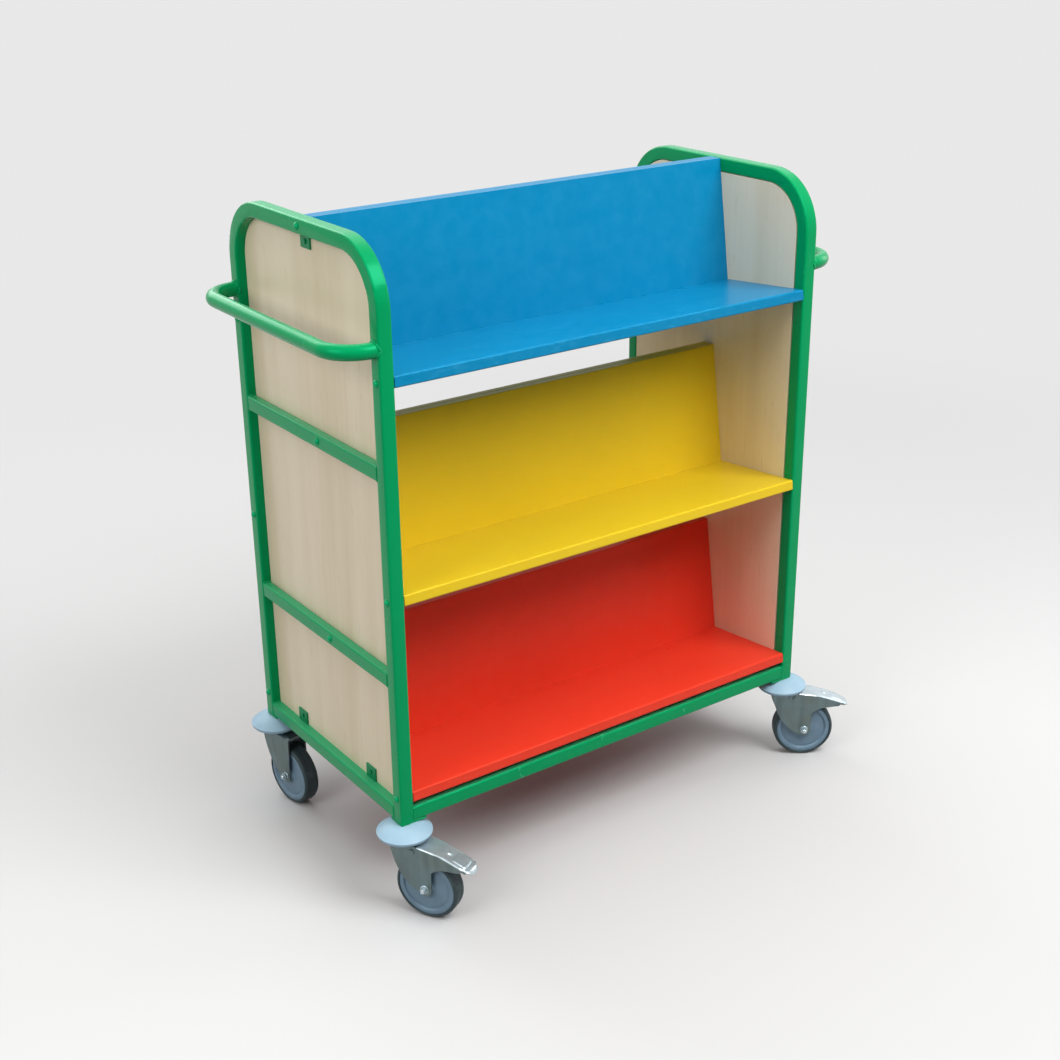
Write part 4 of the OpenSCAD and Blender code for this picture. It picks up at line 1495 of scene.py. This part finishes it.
        # the sides keep the plain zinc; the web takes a lighter copy, painted light, and the rolled corners
        # and the tip a whiter one, painted highlight
        finishes = [Finish.LIT_ZINC, Finish.ZINC, Finish.HIGHLIGHT_ZINC]
        for face in bm.faces:
            aside = abs((level @ face.normal).y)
            tip = (level @ face.calc_center_median()).x > k.tip_highlight_from * MM
            finish = Finish.ZINC if aside > 0.8 else Finish.HIGHLIGHT_ZINC if aside > 0.22 or tip else Finish.LIT_ZINC
            face.material_index = finishes.index(finish)
        inside = self.place @ (Vector((k.waist_to, 0.0, 100.0)) * MM)
        node = f"{self.corner}_pedal"
        piece = pressed_steel(f"{node}_steel", bm, inside, k.pedal_steel, finishes)
        piece_done(piece, f"{self.corner}_brake", Finish.LIT_ZINC, node)


@dataclass
class Swivels:
    """The caster stems and swivel bearings, which stay with the frame when a caster turns."""

    edge: float = 0.0004
    smooth: float = 40.0

    def build(self) -> None:
        """Dresses the stems and the bearings."""
        for node in ("caster_stems", "swivel_bearings"):
            dress_node(node, BODY, Finish.ZINC, self.edge, self.smooth)


# The studio


@dataclass(frozen=True)
class Lamp:
    """One square lamp: its place, what it faces, its side and its power in watts."""

    name: str
    where: Point
    aim: Point
    side: float
    power: float

    def hang(self) -> None:
        """Hangs the lamp, facing what it is aimed at."""
        data = bpy.data.lights.new(self.name, "AREA")
        data.shape = "SQUARE"
        data.size = self.side
        data.energy = self.power
        lamp = in_scene(self.name, data)
        lamp.location = self.where
        lamp.rotation_mode = "QUATERNION"
        lamp.rotation_quaternion = (Vector(self.where) - Vector(self.aim)).to_track_quat("Z", "Y")


@dataclass
class Studio:
    """A pale floor, soft lamps and the camera at the photograph's viewing angle."""

    # the photograph's focal length and width in pixels, and the camera's angles in degrees
    focal: float = 1598.57
    picture: float = 1060.0
    sensor: float = 36.0
    azimuth: float = 35.29
    elevation: float = 22.72
    roll: float = -0.65
    distance: float = 2.9106
    target: Point = (-0.0032, 0.0018, 0.5045)
    backdrop: float = 0.81
    floor_seen: Flat = (0.55, 0.53)
    floor_lit: float = 0.25
    floor_fade: Flat = (1.0, 3.4)
    floor_half: float = 40.0
    sky_top: float = 2.0
    sky_power: float = 4.0
    sky_rim: float = 0.08
    lamps: tuple[Lamp, ...] = (Lamp("key", (0.65, -2.15, 3.05), (0.0, 0.0, 0.5), 1.8, 100.0),
                               Lamp("left", (-3.1, -0.7, 2.2), (-0.2, 0.0, 0.6), 1.8, 45.0),
                               Lamp("right", (3.3, -0.5, 1.8), (0.2, 0.0, 0.6), 1.6, 20.0),
                               Lamp("back", (-0.3, 3.1, 2.9), (0.0, 0.0, 0.6), 2.6, 64.0))

    def build(self) -> None:
        """Builds the camera, the floor, the lamps and the backdrop."""
        self._camera()
        self._floor()
        for lamp in self.lamps:
            lamp.hang()
        self._sky()
        bpy.context.scene.view_settings.view_transform = "Standard"

    def _camera(self) -> None:
        """Places the camera."""
        a, e, r = (math.radians(v) for v in (self.azimuth, self.elevation, self.roll))
        back = Vector((-math.sin(a) * math.cos(e), -math.cos(a) * math.cos(e), math.sin(e)))
        level = Vector((0, 0, 1)).cross(back).normalized()
        above = back.cross(level)
        right = level * math.cos(r) + above * math.sin(r)
        up = above * math.cos(r) - level * math.sin(r)
        data = bpy.data.cameras.new("camera")
        data.sensor_fit = "HORIZONTAL"
        data.sensor_width = self.sensor
        data.lens = self.sensor * self.focal / self.picture
        data.clip_end = 100.0
        made = in_scene("camera", data)
        turn = Matrix((right, up, back)).transposed().to_4x4()
        made.matrix_world = Matrix.Translation(Vector(self.target) + back * self.distance) @ turn
        bpy.context.scene.camera = made

    def _floor(self) -> None:
        """Lays a wide floor: pale to the eye, greyer to the light that it throws back."""
        coat = Coat("pale floor")
        cloud = coat.noise(Cloud(1.2, 3.0))
        seen = coat.seen()
        pale = coat.blend(cloud * 0.3, grey(self.floor_seen[0]), grey(self.floor_seen[1]))
        coat.dress(Base_Color=coat.blend(seen, grey(self.floor_lit), pale), Specular_IOR_Level=0.1,
                   Roughness=0.75 + (cloud - 0.5) * 0.1)
        far = ((coat.x * coat.x + coat.y * coat.y) ** 0.5).between(*self.floor_fade)
        glow = coat.node("ShaderNodeEmission", None, grey(self.backdrop), 1.0)
        mix = coat.node("ShaderNodeMixShader", None, seen * far, coat.surface.outputs[0], glow.outputs[0])
        coat.feed(coat.output.inputs["Surface"], mix.outputs[0])
        bm = bmesh.new()
        bmesh.ops.create_grid(bm, x_segments=2, y_segments=2, size=self.floor_half)
        mesh = bpy.data.meshes.new("studio_floor")
        bm.to_mesh(mesh)
        bm.free()
        mesh.materials.append(coat.material)
        in_scene("studio_floor", mesh)

    def _sky(self) -> None:
        """Lights the room softly from above, and little from its sides."""
        world = bpy.data.worlds.new("studio air")
        world.use_nodes = True
        air = Wiring(world.node_tree)
        height = air.parts(air.node("ShaderNodeTexCoord").outputs["Generated"])[2].most(0.0)
        seen = air.seen()
        light = height ** self.sky_power * self.sky_top + self.sky_rim
        strength = seen * self.backdrop + (1.0 - seen) * light
        fill = air.node("ShaderNodeBackground", None, grey(1.0), strength)
        air.node("ShaderNodeOutputWorld", None, fill.outputs[0])
        bpy.context.scene.world = world


def main() -> None:
    """Builds the dressed trolley and its studio."""
    logging.basicConfig(level=logging.INFO, format="%(name)s: %(message)s", stream=sys.stdout)
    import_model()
    Studio().build()
    EndFrames().build()
    Boards().build()
    for caster in (Caster("front_left", -1, -1, -61.0, True), Caster("front_right", 1, -1, -33.0, True),
                   Caster("rear_left", -1, 1, -82.0, False), Caster("rear_right", 1, 1, -50.0, False)):
        caster.build()
    Swivels().build()


if __name__ == "__main__":
    main()
